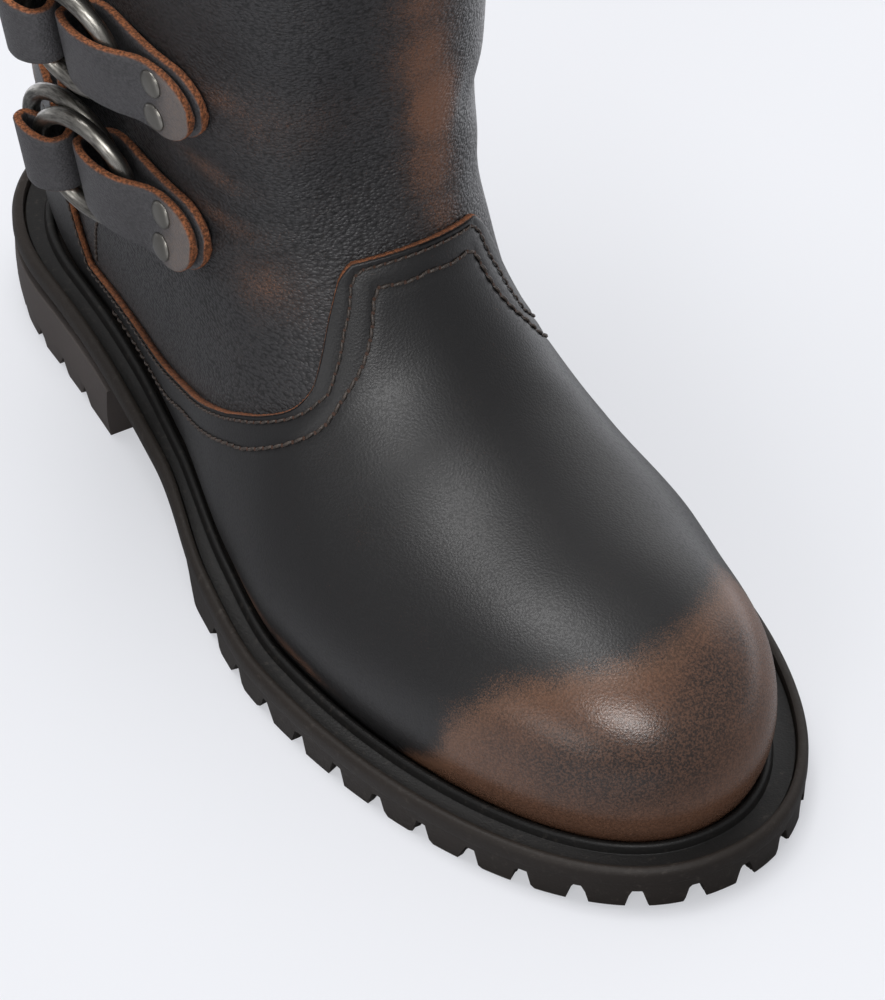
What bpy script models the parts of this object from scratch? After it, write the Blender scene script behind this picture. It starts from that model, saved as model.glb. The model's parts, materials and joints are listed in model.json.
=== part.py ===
"""Pull-on biker boot for the right foot: hollow leather upper, vamp and counter panel, lugged sole,
and two side straps that close with pairs of rings."""

import bpy
import bmesh
import numpy as np
from math import cos, pi, radians, sin, sqrt, tan
from mathutils import Matrix, Vector

for item in list(bpy.data.objects):
    bpy.data.objects.remove(item, do_unlink=True)

# Sizes in millimetres. s runs forward from the heel, x to the inner side of the foot, z up from the floor
MM = 0.001
HEEL_END = -5.0
TOE_END = 285.0
HEEL_ROUND = 46.0
TOE_ROUND = 112.0
TOE_POWER = 2.18
HEEL_POWER = 2.1
TOE_SWING = 4.0
RIM_FORE = 10.6
RIM_HEEL = 24.4
TOE_SPRING = 1.4
SPRING_FROM = 208.0
ARCH_FROM = 57.0
ARCH_TO = 177.0
BREAST = 79.0
COLLAR_HEIGHT = 262.0
WALL = 2.2
PANEL = 1.5
GAP = 0.3
FEATHER_LIFT = 0.8
SEAT_DROP = 3.2
BULGE = 3.2
TOE_DOME = 50.0
TOE_DOME_POWER = 2.25
SHAFT_POWER = 2.15
BLEND_FRONT = 26.0
BLEND_BACK = 16.0
SPINE_END = 44.0
SHEET_BACK = 12.0
SHEET_POWER = 2.2
FLAT_POWER = 0.95
FLAT_DEPTH = 1.5

# Sole outline: share of the length, half width
OUTLINE_OUTER = [(0, 38.0), (.12, 38.0), (.39, 43.4), (.52, 52.0), (.63, 55.5), (1, 55.5)]
OUTLINE_INNER = [(0, 35.5), (.12, 35.5), (.38, 34.0), (.53, 43.4), (.65, 52.5), (.75, 57.0), (1, 57.0)]
# Upper measured in from the sole outline: s, inset
MARGIN = [(0, 12.5), (25, 11.0), (60, 10.5), (80, 10.5), (115, 9.7), (147, 11.0), (180, 10.9),
          (230, 11.3), (285, 12.0)]
# Inner wall drawn in along the ball: s, amount
TUCK = [(0, 0), (60, 0), (140, .5), (185, 3.5), (220, 4.2), (250, 1.5), (285, 0)]
# Height from the feather line to the widest part: s, rise
RISE = [(0, 22), (60, 20), (130, 17), (200, 14), (285, 12)]
# Ridge of the foot: s, height
RIDGE = [(0, 60), (8, 80), (16, 98), (26, 112), (40, 116), (100, 110), (140, 102), (160, 89),
         (175, 75.5), (190, 65.5), (205, 60), (220, 57), (235, 55), (250, 53.5), (285, 52)]
# Roundness of the foot sections: s, power
ROUNDNESS = [(0, 2.3), (100, 2.1), (160, 1.85), (200, 1.9), (240, 2.15), (285, 2.3)]
# Shaft sections: height, centre s, half length, half width
SHAFT = [(20, 84, 56, 16), (60, 84.5, 62, 35), (90, 86, 63.5, 39), (110, 87, 64, 41),
         (130, 88, 64.2, 42.4), (170, 89.5, 64.5, 43.8), (210, 91.3, 65.5, 45.5), (262, 93, 67.5, 48)]
# Outer side of the shaft drawn flat by the straps: height, share
SIDE_FLAT = [(20, 0), (55, .2), (85, 1), (145, 1), (200, .6), (262, .4)]
# Front line of the rows from toe to collar: s, height
FRONT_LINE = [(273.5, 12.8), (278.5, 20), (278.8, 28), (276, 36.5), (270, 43), (260, 49), (246, 53.2),
              (230, 56), (214, 59), (199, 63.5), (185, 71), (172.5, 81.5), (163, 95), (157, 112),
              (154, 134), (153.5, 165), (155, 198), (157.5, 230), (160.5, 262)]
# Back line of the rows: row, height
BACK_LINE = [(0, 25.2), (.1, 28), (.2, 33), (.3, 40), (.4, 52), (.49, 70), (.55, 86), (.62, 108),
             (.72, 145), (.82, 182), (.91, 220), (1, 262)]
# Top edge of the panel: column from heel 0 to front 3, row
SEAM = [(0, .50), (.80, .50), (.90, .46), (.95, .34), (1.0, .235), (1.17, .258), (1.40, .285),
        (1.66, .328), (2.0, .370), (2.25, .388), (2.40, .400), (2.51, .417), (2.58, .440),
        (2.66, .475), (2.71, .496), (2.76, .503), (3.0, .503)]
# Columns of the upper on one half, from the heel centre to the front centre
COLUMNS = [0, .25, .5, .72, .87, .95, 1, 1.08, 1.18, 1.3, 1.42, 1.55, 1.68, 1.8, 1.9, 2, 2.12, 2.24,
           2.36, 2.46, 2.54, 2.61, 2.67, 2.72, 2.77, 2.84, 2.92, 3]
PANEL_ROWS = 9
SHAFT_ROWS = 8

# Sole body
SOLE_COLUMNS = 31
HEEL_COLUMNS = 14
LUG_DEPTH = 4.4
LUG_WIDTH = 3.8
LUG_SPACING = 13.6
LUG_START = 147.0
LUG_REACH = 11.0
BAR_LENGTH = 46.0
HEEL_LUG_SPACING = 12.5
HEEL_LUG_REACH = 7.0
HEEL_LUG_DEPTH = 3.2
# Bars across the forefoot: s, turn in degrees
TREAD_BARS = [(164, 10), (186, -10), (208, 10), (230, -10)]
SHANK_THICK = 6.5
HEEL_SEAT = 7.6
HEEL_TAPER = 1.2

# Straps and rings
STRAP_THICK = 2.2
STRAP_LEAN = 9.0
UNIT_HEIGHTS = {"lower": 93.0, "upper": 130.8}
RING_RADIUS = 14.2
RING_LIFT = 1.8
RING_WIRE = 2.1
# Rings of one unit: name, centre s, stand-off at the centre, yaw in degrees
RINGS = [("front", 91.2, 10.3, 17.0), ("back", 82.2, 8.3, 14.0)]
# Front strap from its under end round the fold: s, stand-off of its middle, half width, lean share
FRONT_STRAP = [(130.4, 1.6, 2.2, 0), (128.8, 1.55, 5.4, 0), (125.6, 1.5, 7.9, 0), (121, 1.45, 9.1, 0),
               (113, 1.6, 9.2, 0), (104, 1.6, 9.2, 0), (96, 1.45, 9.2, 0), (91.4, 1.7, 8.9, .2),
               (88.5, 2.8, 8.1, .6), (87.5, 5.0, 7.8, 1), (87.5, 7.6, 7.8, 1), (88.9, 9.8, 8.5, 1),
               (92.2, 11.2, 9.2, 1), (97, 11.7, 9.2, 1), (100.8, 11.3, 9.2, 1), (104.6, 10.3, 9.2, 1),
               (107.8, 8.9, 9.2, .8), (110.6, 7.2, 9.2, .5), (113.4, 5.7, 9.2, .2), (117, 4.95, 9.2, 0),
               (121.2, 4.85, 8.9, 0), (125.2, 4.75, 7.2, 0), (128, 4.7, 4.6, 0), (129.2, 4.7, 1.8, 0)]
# Back strap from its fixed end round the fold: s, stand-off of its middle, half width, lean share
BACK_STRAP = [(27, 2.1, 2.2, 0), (28.2, 2.1, 5.2, 0), (31, 2.1, 7.6, 0), (36, 2.0, 9.0, 0),
              (44, 1.8, 9.2, 0), (52, 1.8, 9.2, .2), (60, 2.1, 9.2, .6), (68, 3.0, 9.2, 1),
              (74, 5.0, 9.2, 1), (80, 7.3, 8.8, 1), (83.7, 8.9, 8.0, 1), (85.3, 11.6, 7.7, 1),
              (85.0, 14.4, 7.7, 1), (82.6, 16.8, 8.3, 1), (79, 18.0, 9.0, 1), (75.9, 17.5, 9.0, 1),
              (74.2, 15.0, 8.2, 1), (75.9, 11.2, 7.0, 1), (75.4, 8.6, 7.0, 1), (72.2, 6.9, 7.4, 1),
              (66.4, 5.9, 8.4, 1), (60, 5.4, 8.9, .8), (53, 5.2, 9.2, .5), (46.5, 4.9, 8.8, .2),
              (42.5, 4.7, 6.8, .1), (41, 4.7, 3.6, .1)]
RIVET_RADIUS = 3.2
RIVET_RISE = 1.5
RIVET_SPREAD = 4.7
FRONT_RIVET_S = 118.4
RIVET_SEAT = 6.9
# Rivet head from its crown down to its seat: share of the radius, share of the rise
RIVET_PROFILE = [(0, 1), (.50, .88), (.84, .55), (1, .15), (1, 0), (0, 0)]


def ease(t):
    """Smooth step from 0 to 1"""
    t = np.clip(t, 0, 1)
    return t * t * (3 - 2 * t)


def curve(table, x):
    """Smooth line through the two columns of a table"""
    points = np.array(table, float)
    a, b = points[:, 0], points[:, 1]
    slope = np.diff(b) / np.diff(a)
    m = np.empty(len(a))
    m[0], m[-1] = slope[0], slope[-1]
    pair = slope[:-1] + slope[1:]
    both = slope[:-1] * slope[1:]
    m[1:-1] = np.where(both > 0, 2 * both / np.where(pair == 0, 1, pair), 0)
    x = np.clip(x, a[0], a[-1])
    i = np.clip(np.searchsorted(a, x, side="right") - 1, 0, len(a) - 2)
    h = a[i + 1] - a[i]
    u = (x - a[i]) / h
    start = b[i] * (1 + 2 * u) + m[i] * h * u
    end = b[i + 1] * (3 - 2 * u) + m[i + 1] * h * (u - 1)
    return start * (1 - u) ** 2 + end * u * u


def plan(s, inset):
    """Outer and inner edge of the sole outline drawn in by an inset"""
    t = np.clip((s - HEEL_END - inset) / (TOE_END - HEEL_END - 2 * inset), 0, 1)
    heel_run = np.minimum(t * TOE_END / HEEL_ROUND, 1)
    toe_run = np.minimum((1 - t) * TOE_END / TOE_ROUND, 1)
    heel = np.maximum(1 - (1 - heel_run) ** HEEL_POWER, 0) ** (1 / HEEL_POWER)
    toe = np.maximum(1 - (1 - toe_run) ** TOE_POWER, 0) ** (1 / TOE_POWER)
    middle = TOE_SWING * ease((t - .6) / .4)
    outer = middle - (curve(OUTLINE_OUTER, t) - inset) * heel * toe
    inner = middle + (curve(OUTLINE_INNER, t) - inset) * heel * toe
    return outer, inner


def spring(s):
    """Rise of the toe off the floor"""
    return TOE_SPRING * np.clip((s - SPRING_FROM) / (TOE_END - SPRING_FROM), 0, 1) ** 2


def rim(s):
    """Height of the top of the sole edge"""
    return RIM_FORE + (RIM_HEEL - RIM_FORE) * ease((ARCH_TO - s) / (ARCH_TO - ARCH_FROM)) + spring(s)


def foot_form(x, s, z):
    """Negative inside the foot part of the upper"""
    feather = rim(s) + FEATHER_LIFT
    widest = feather + curve(RISE, s)
    margin = curve(MARGIN, s)
    low = np.clip((widest - z) / (widest - feather), 0, 1.4)
    inset = margin - BULGE * (1 - low ** 2)
    outer, inner = plan(s, inset)
    inner = inner - curve(TUCK, s)
    half = np.maximum((inner - outer) / 2, .02)
    toe_run = np.clip((TOE_END - margin + BULGE - s) / TOE_DOME, 0, 1)
    dome = np.maximum(1 - (1 - toe_run) ** TOE_DOME_POWER, 0) ** (1 / TOE_DOME_POWER)
    tall = np.maximum((curve(RIDGE, s) - widest) * dome, .02)
    up = np.minimum(np.maximum(z - widest, 0) / tall, 50)
    past = np.maximum(np.maximum(HEEL_END + inset - s, s - TOE_END + inset), 0)
    side = np.minimum(np.where(past > 0, 1 + past, np.abs(x - (outer + inner) / 2) / half), 50)
    power = curve(ROUNDNESS, s)
    return np.minimum((side ** power + up ** power) ** (1 / power) - 1, 4) * 42


def shaft_form(x, s, z):
    """Negative inside the shaft"""
    table = np.array(SHAFT, float)
    centre = curve(table[:, [0, 1]], z)
    half_length = curve(table[:, [0, 2]], z)
    flat = curve(SIDE_FLAT, z) * ease((-3 - x) / 17) * ease((s - centre + 20) / 40)
    half_width = curve(table[:, [0, 3]], z) - FLAT_DEPTH * flat
    power = SHAFT_POWER + FLAT_POWER * flat
    ring = (np.abs(x) / half_width) ** power + (np.abs(s - centre) / half_length) ** power
    return np.minimum(ring ** (1 / power) - 1, 4) * 48


def boot_form(x, s, z):
    """Foot and shaft blended together"""
    foot = foot_form(x, s, z)
    shaft = shaft_form(x, s, z)
    blend = BLEND_BACK + (BLEND_FRONT - BLEND_BACK) * ease((s - 60) / 80)
    near = np.maximum(blend - np.abs(foot - shaft), 0) / blend
    return np.minimum(foot, shaft) - near * near * blend / 4


def row_ends(row):
    """Front s, front height and back height of a row"""
    line = np.array(FRONT_LINE, float)
    run = np.concatenate([[0], np.cumsum(np.hypot(*np.diff(line, axis=0).T))])
    run = run / run[-1]
    front_s = curve(np.stack([run, line[:, 0]], -1), row)
    front_z = curve(np.stack([run, line[:, 1]], -1), row)
    return front_s, front_z, curve(BACK_LINE, row)


def row_height(s, row):
    """Height of a row sheet above a place along the foot"""
    front_s, front_z, back_z = row_ends(row)
    run = np.clip((s - SHEET_BACK) / (front_s - SHEET_BACK), 0, 1.3) ** SHEET_POWER
    first_s, first_z, first_back = row_ends(row * 0)
    first_run = np.clip((s - SHEET_BACK) / (first_s - SHEET_BACK), 0, 1.3) ** SHEET_POWER
    base = first_back + (first_z - first_back) * first_run
    foot = rim(s) - SEAT_DROP + GAP - base
    return back_z + (front_z - back_z) * run + foot * np.maximum(1 - row / .55, 0) ** 1.6


def skin(column, row):
    """Points of the outer face of the upper: column 0 at the heel centre, 3 at the front, 6 at the heel"""
    half = np.where(column <= 3, column, 6 - column)
    side = np.where(column <= 3, -1.0, 1.0)
    turn = np.radians(90 * np.where(half < 1, half, np.where(half > 2, 3 - half, 1.0)))
    across = side * np.sin(turn)
    along = np.where(half < 1, -np.cos(turn), np.where(half > 2, np.cos(turn), 0.0))
    front_s = row_ends(row)[0]
    back = SHEET_BACK + SPINE_END
    start = back + (front_s - SPINE_END - back) * np.clip(half - 1, 0, 1)
    low = np.zeros_like(start)
    high = low + 130.0
    for step in range(34):
        reach = (low + high) / 2
        s = start + along * reach
        inside = boot_form(across * reach, s, row_height(s, row)) < 0
        low = np.where(inside, reach, low)
        high = np.where(inside, high, reach)
    s = start + along * low
    return np.stack([across * low, -s, row_height(s, row)], -1)


def seam(column):
    """Row of the top edge of the panel"""
    return curve(SEAM, np.where(column <= 3, column, 6 - column))


def grid_normals(points):
    """Outward directions of a grid that closes round its columns"""
    around = np.roll(points, -1, 1) - np.roll(points, 1, 1)
    up = np.gradient(points, axis=0)
    normal = np.cross(around, up)
    normal /= np.linalg.norm(normal, axis=-1, keepdims=True)
    outward = (normal * (points - points.mean(1, keepdims=True))).sum()
    return normal * np.sign(outward)


def side_width(s, z):
    """Distance of the outer side of the boot from the middle line"""
    s, z = np.broadcast_arrays(np.asarray(s, float), np.asarray(z, float))
    low = np.zeros(s.shape)
    high = low + 90.0
    for step in range(34):
        reach = (low + high) / 2
        inside = boot_form(-reach, s, z) < 0
        low = np.where(inside, reach, low)
        high = np.where(inside, high, reach)
    return low


# Materials
def material(name, colour, rough, metal=0.0):
    """Plain surface"""
    made = bpy.data.materials.new(name)
    made.use_nodes = True
    shader = made.node_tree.nodes["Principled BSDF"]
    shader.inputs["Base Color"].default_value = (*colour, 1)
    shader.inputs["Roughness"].default_value = rough
    shader.inputs["Metallic"].default_value = metal
    made.diffuse_color = (*colour, 1)
    return made


# Collections
boot = bpy.data.collections.new("Biker boot")
cutters = bpy.data.collections.new("Cutters")
bpy.context.scene.collection.children.link(boot)
bpy.context.scene.collection.children.link(cutters)


def face_out(work):
    """Turn the faces of a closed body outward"""
    bmesh.ops.recalc_face_normals(work, faces=work.faces)
    if work.calc_volume(signed=True) < 0:
        bmesh.ops.reverse_faces(work, faces=work.faces)


def build(name, points, faces, look, collection=boot):
    """Object from points in millimetres and faces, facing out"""
    mesh = bpy.data.meshes.new(name)
    mesh.from_pydata([tuple(float(value) * MM for value in point) for point in points], [], faces)
    work = bmesh.new()
    work.from_mesh(mesh)
    face_out(work)
    work.to_mesh(mesh)
    work.free()
    made = bpy.data.objects.new(name, mesh)
    if look is not None:
        mesh.materials.append(look)
    collection.objects.link(made)
    return made


def move_to_boot(made):
    """Put an object in the boot's own collection"""
    for owner in list(made.users_collection):
        owner.objects.unlink(made)
    boot.objects.link(made)


def strip_faces(rows, count, close_rows):
    """Quads over loops of points; close_rows joins the last loop to the first"""
    faces = []
    for row in range(rows if close_rows else rows - 1):
        nxt = (row + 1) % rows
        for k in range(count):
            m = (k + 1) % count
            faces.append((row * count + k, row * count + m, nxt * count + m, nxt * count + k))
    return faces


def shell(name, outer, inner, look):
    """Closed wall between two grids that close round their columns; all grids split their faces alike"""
    rows, count = outer.shape[:2]
    below = rows * count
    faces = []
    for row in range(rows - 1):
        for k in range(count):
            a, b = row * count + k, row * count + (k + 1) % count
            c, d = b + count, a + count
            faces += [(a, b, c), (a, c, d), (below + a, below + c, below + b),
            (below + a, below + d, below + c)]
    for k in range(count):
        m = (k + 1) % count
        top = (rows - 1) * count
        faces += [(k, below + k, below + m, m), (top + k, top + m, below + top + m, below + top + k)]
    return build(name, np.concatenate([outer, inner]).reshape(-1, 3), faces, look)


def outline_loop(inset, height, stop=None, tuck=0.0):
    """Loop of the sole outline: outer side from the heel forward, then the inner side back.
    inset and height are functions of s; stop ends the loop short of the toe;
    tuck draws the inner side in as the upper is"""
    if stop is None:
        share = (1 - np.cos(np.linspace(0, pi, SOLE_COLUMNS))) / 2
        base = HEEL_END + (TOE_END - HEEL_END) * share
        s = base + inset(base) * (1 - 2 * share)
    else:
        share = 1 - np.cos(np.linspace(0, pi / 2, HEEL_COLUMNS))
        base = HEEL_END + (stop - HEEL_END) * share
        s = base + inset(base) * (1 - share)
    outer, inner = plan(s, inset(base))
    inner = inner - curve(TUCK, s) * tuck
    lateral = np.stack([outer, -s, height(s)], -1)
    medial = np.stack([inner, -s, height(s)], -1)
    return np.concatenate([lateral, medial[::-1]])


def loft(name, loops, look):
    """Closed body from outline loops, first and last capped by strips across"""
    count = len(loops[0])
    side = count // 2
    faces = strip_faces(len(loops), count, False)
    last = (len(loops) - 1) * count
    for k in range(side - 1):
        a, b, c, d = k, k + 1, count - 2 - k, count - 1 - k
        faces.append((a, d, c, b))
        faces.append((last + a, last + b, last + c, last + d))
    made = build(name, np.concatenate(loops), faces, look)
    weld(made)
    return made


def weld(made):
    """Join points that fall together at the ends of an outline"""
    work = bmesh.new()
    work.from_mesh(made.data)
    bmesh.ops.remove_doubles(work, verts=work.verts, dist=0.00002)
    bmesh.ops.dissolve_degenerate(work, edges=work.edges, dist=0.00002)
    face_out(work)
    work.to_mesh(made.data)
    work.free()


def fixed(value):
    """The same value all along the foot"""
    return lambda s: s * 0 + value


def above(drop):
    """Height measured from the top of the sole edge"""
    return lambda s: rim(s) + drop


# Colours
black_leather = material("Black leather", (.035, .034, .037), .45)
panel_leather = material("Panel leather", (.030, .029, .031), .40)
strap_leather = material("Strap leather", (.060, .060, .066), .50)
black_rubber = material("Black rubber", (.030, .027, .025), .60)
welt_rubber = material("Welt rubber", (.022, .021, .021), .50)
heel_rubber = material("Heel rubber", (.035, .031, .029), .65)
insole_board = material("Insole leather", (.20, .13, .08), .70)
pewter = material("Aged metal", (.42, .40, .36), .35, 1.0)

# Upper and panel share their rows, so their walls run side by side
half_columns = np.array(COLUMNS, float)
column = np.concatenate([half_columns[:-1], 6 - half_columns[:0:-1]])
low_rows = (np.arange(PANEL_ROWS + 1) / PANEL_ROWS) ** 1.25
high_rows = np.arange(1, SHAFT_ROWS + 1) / SHAFT_ROWS
top = seam(column)
rows = np.concatenate([low_rows[:, None] * top, top + (1 - top) * high_rows[:, None]])
face = skin(np.broadcast_to(column, rows.shape), rows)
outward = grid_normals(face)
outward[0, :, 2] = 0
outward[0] /= np.linalg.norm(outward[0], axis=-1, keepdims=True)
shell("upper", face, face - outward * WALL, black_leather)
panel_face = face[:PANEL_ROWS + 1]
panel_out = outward[:PANEL_ROWS + 1]
panel_inner = panel_face + panel_out * GAP
shell("vamp_counter_panel", panel_inner + panel_out * PANEL, panel_inner, panel_leather)


# Sole
def under(s):
    """Lower face of the sole: lugged forefoot on the floor, thin shank, heel seat"""
    fore = spring(s)
    shank = rim(s) - SHANK_THICK - (HEEL_SEAT - SHANK_THICK) * ease((BREAST + 4 - s) / 8)
    return fore + (shank - fore) * np.clip((LUG_START - 6 - s) / 6, 0, 1)


def recess(s):
    """Groove under the sole edge along heel and shank"""
    return 1.5 * (1 - ease((s - 85) / 45))


outsole = loft("outsole", [
    outline_loop(fixed(14), above(-SEAT_DROP)),
    outline_loop(fixed(2.6), above(-SEAT_DROP)),
    outline_loop(fixed(2.5), above(-.3)),
    outline_loop(fixed(2.0), above(0)),
    outline_loop(fixed(.9), above(-.1)),
    outline_loop(fixed(0), above(-1.4)),
    outline_loop(fixed(0), above(-4.0)),
    outline_loop(recess, above(-4.4)),
    outline_loop(lambda s: recess(s) + .5 * (1 - recess(s) / 1.5), under),
], black_rubber)


def wedge(centre, forward, width, length, deep):
    """Groove cutter: wider at the floor, narrower at its top"""
    forward = np.array(forward, float) / np.hypot(*forward)
    across = np.array([-forward[1], forward[0]])
    corners = []
    for z, half in ((-2.0, width / 2 + .9), (deep, width / 2 - .5)):
        for a, b in ((-1, 0), (1, 0), (1, 1), (-1, 1)):
            corners.append([*(np.array(centre[:2]) + across * a * half + forward * b * length),
            centre[2] + z])
    return corners


WEDGE_FACES = [(0, 1, 2, 3), (7, 6, 5, 4), (0, 4, 5, 1), (1, 5, 6, 2), (2, 6, 7, 3), (3, 7, 4, 0)]


def cut(target, name, wedges):
    """Take a row of wedges out of a body"""
    points = [point for corners in wedges for point in corners]
    faces = [tuple(k + 8 * i for k in quad) for i in range(len(wedges)) for quad in WEDGE_FACES]
    tool = build(name, points, faces, None, cutters)
    tool.hide_render = True
    tool.display_type = "WIRE"
    change = target.modifiers.new(name, "BOOLEAN")
    change.operation = "DIFFERENCE"
    change.object = tool


def edge_places(s_from, s_to, spacing, side):
    """Places at even steps along one edge of the sole: point and direction inward"""
    s = np.linspace(s_from, s_to, 400)
    x = plan(s, 0.0)[side]
    line = np.stack([x, -s], -1)
    run = np.concatenate([[0], np.cumsum(np.hypot(*np.diff(line, axis=0).T))])
    places = []
    for k in range(int(run[-1] / spacing) + 1):
        i = min(int(np.searchsorted(run, k * spacing)), len(s) - 2)
        way = line[i + 1] - line[i]
        inward = np.array([-way[1], way[0]]) * (1 if side == 0 else -1)
        places.append((line[i], inward / np.hypot(*inward)))
    return places


# Lugs round the forefoot, bars across its middle, small lugs round the heel
lugs = []
for side in (0, 1):
    for point, inward in edge_places(LUG_START + 8, TOE_END - 2, LUG_SPACING, side):
        lift = float(spring(np.array(-point[1])))
        lugs.append(wedge((*(point - inward * 3), lift), inward, LUG_WIDTH, 3 + LUG_REACH, LUG_DEPTH))
for s, turn in TREAD_BARS:
    direction = np.array([cos(radians(turn)), sin(radians(turn))])
    start = np.array([0.0, -s]) - direction * BAR_LENGTH / 2
    lugs.append(wedge((*start, float(spring(np.array(s)))), direction, LUG_WIDTH, BAR_LENGTH, LUG_DEPTH))
cut(outsole, "lug_cutter", lugs)


def heel_side(top_share):
    """Inset of the heel block, drawn in toward the floor"""
    return fixed(.3 + HEEL_TAPER * (1 - top_share))


heel = loft("heel_block", [
    outline_loop(heel_side(1), above(-HEEL_SEAT - GAP), BREAST),
    outline_loop(heel_side(.5), lambda s: (rim(s) - HEEL_SEAT - GAP) * .5, BREAST - .8),
    outline_loop(heel_side(0), fixed(0), BREAST - 1.6),
], heel_rubber)
heel_lugs = []
for side in (0, 1):
    for point, inward in edge_places(HEEL_END + 9, BREAST - 10, HEEL_LUG_SPACING, side):
        start = point - inward * 2
        heel_lugs.append(wedge((*start, 0), inward, LUG_WIDTH * .8, 2 + HEEL_LUG_REACH, HEEL_LUG_DEPTH))
cut(heel, "heel_cutter", heel_lugs)


# Welt: flat band inside the raised sole edge and a narrow lip against the upper
def lip(amount):
    """Inset of the lip measured out from the upper"""
    return lambda s: curve(MARGIN, s) - amount


welt_loops = [
    outline_loop(fixed(2.9), above(-SEAT_DROP + GAP)),
    outline_loop(fixed(2.9), above(-1.5)),
    outline_loop(lip(4.6), above(-1.5), tuck=1),
    outline_loop(lip(4.2), above(.5), tuck=1),
    outline_loop(lip(3.5), above(.9), tuck=1),
    outline_loop(lip(2.6), above(.7), tuck=1),
    outline_loop(lip(2.6), above(-SEAT_DROP + GAP), tuck=1),
]
welt_faces = strip_faces(len(welt_loops), len(welt_loops[0]), True)
weld(build("welt", np.concatenate(welt_loops), welt_faces, welt_rubber))

loft("insole", [
    outline_loop(lip(-5.6), above(-SEAT_DROP + GAP), tuck=1),
    outline_loop(lip(-5.6), above(.1), tuck=1),
], insole_board)


# Straps follow the side of the shaft, then stand off round the rings
def side_frame(s, z):
    """Point on the side of the shaft at a height and the direction out of it, level"""
    near = side_width(np.asarray(s, float) + np.array([-.5, 0, .5])[:, None], z)
    out = np.stack([-np.ones_like(near[1]), near[2] - near[0]], -1)
    point = np.stack([-near[1], -np.asarray(s, float)], -1)
    return point, out / np.linalg.norm(out, axis=-1, keepdims=True)


def strap(name, table, height):
    """Flat strip along a table of stations"""
    s, off, half, lean = np.array(table, float).T
    middle, out = side_frame(s, np.full_like(s, height))
    path = middle + out * off[:, None]
    way = np.gradient(path, axis=0)
    thick = np.stack([-way[:, 1], way[:, 0]], -1)
    thick = thick / np.linalg.norm(thick, axis=-1, keepdims=True) * STRAP_THICK / 2
    corners = []
    for edge in (-1, 1):
        z = height + edge * half
        close, close_out = side_frame(s, z)
        flat = close + close_out * off[:, None]
        leaning = path + out * (edge * half * tan(radians(STRAP_LEAN)))[:, None]
        line = flat + (leaning - flat) * lean[:, None]
        for face_side in (-edge, edge):
            corners.append(np.concatenate([line + thick * face_side, z[:, None]], -1))
    loops = np.stack(corners, 1)
    count = len(loops)
    faces = strip_faces(count, 4, False)
    faces.append((0, 1, 2, 3))
    faces.append(tuple((count - 1) * 4 + k for k in (3, 2, 1, 0)))
    return build(name, loops.reshape(-1, 3), faces, strap_leather)


def ring(name, s, off, yaw, height):
    """Round ring standing in the straps, leaning out at the top and at its back"""
    height = height + RING_LIFT
    middle, out = side_frame(np.array([s]), np.array([height]))
    centre = middle[0] + out[0] * off
    back = Vector((-sin(radians(yaw)), cos(radians(yaw)), 0))
    level = Vector((-cos(radians(yaw)), -sin(radians(yaw)), 0))
    lean = radians(STRAP_LEAN)
    up = Vector((0, 0, 1)) * cos(lean) + level * sin(lean)
    axis = back.cross(up)
    bpy.ops.mesh.primitive_torus_add(major_segments=22, minor_segments=6,
                                     major_radius=RING_RADIUS * MM, minor_radius=RING_WIRE * MM)
    made = bpy.context.object
    made.name = name
    made.data.name = name
    made.data.materials.append(pewter)
    turn = Matrix((back, up, axis)).transposed().to_4x4()
    made.matrix_world = Matrix.Translation(Vector((centre[0], centre[1], height)) * MM) @ turn
    move_to_boot(made)


def rivet(name, s, off, z):
    """Domed rivet head on a strap, turned from a profile"""
    middle, out = side_frame(np.array([s]), np.array([z]))
    spot = middle[0] + out[0] * off
    profile = [(RIVET_RADIUS * share * MM, 0, RIVET_RISE * rise * MM) for share, rise in RIVET_PROFILE]
    mesh = bpy.data.meshes.new(name)
    mesh.from_pydata(profile, [(k, k + 1) for k in range(len(profile) - 1)], [])
    mesh.materials.append(pewter)
    made = bpy.data.objects.new(name, mesh)
    turned = made.modifiers.new("Turned", "SCREW")
    turned.steps = 10
    turned.render_steps = 10
    turned.use_merge_vertices = True
    turned.merge_threshold = 0.00005
    axis = Vector((out[0][0], out[0][1], 0))
    turn = axis.to_track_quat("Z", "Y").to_matrix().to_4x4()
    made.matrix_world = Matrix.Translation(Vector((spot[0], spot[1], z)) * MM) @ turn
    boot.objects.link(made)


for unit, height in UNIT_HEIGHTS.items():
    strap(unit + "_front_strap", FRONT_STRAP, height)
    strap(unit + "_back_strap", BACK_STRAP, height)
    for which, s, off, yaw in RINGS:
        ring(unit + "_" + which + "_ring", s, off, yaw, height)
    for label, step in (("high", RIVET_SPREAD), ("low", -RIVET_SPREAD)):
        rivet(unit + "_rivet_" + label, FRONT_RIVET_S, RIVET_SEAT, height + step)

# Stand the boot with the middle of its box over the origin
bpy.context.view_layer.update()
corners = []
for made in boot.objects:
    corners += [made.matrix_world @ Vector(corner) for corner in made.bound_box]
corners = np.array(corners)
middle = (corners.min(0) + corners.max(0)) / 2
stand = bpy.data.objects.new("Stand", None)
boot.objects.link(stand)
for made in list(boot.objects) + list(cutters.objects):
    if made is not stand:
        made.parent = stand
stand.location = (-middle[0], -middle[1], 0)
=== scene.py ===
"""Looks of the biker boot: creased leather, stitches, lugged sole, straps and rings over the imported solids."""
import json
from math import cos, pi, radians, sin, tan

import bpy
import numpy as np
from bpy.props import FloatProperty, FloatVectorProperty, PointerProperty
from mathutils import Matrix, Vector, kdtree


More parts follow.
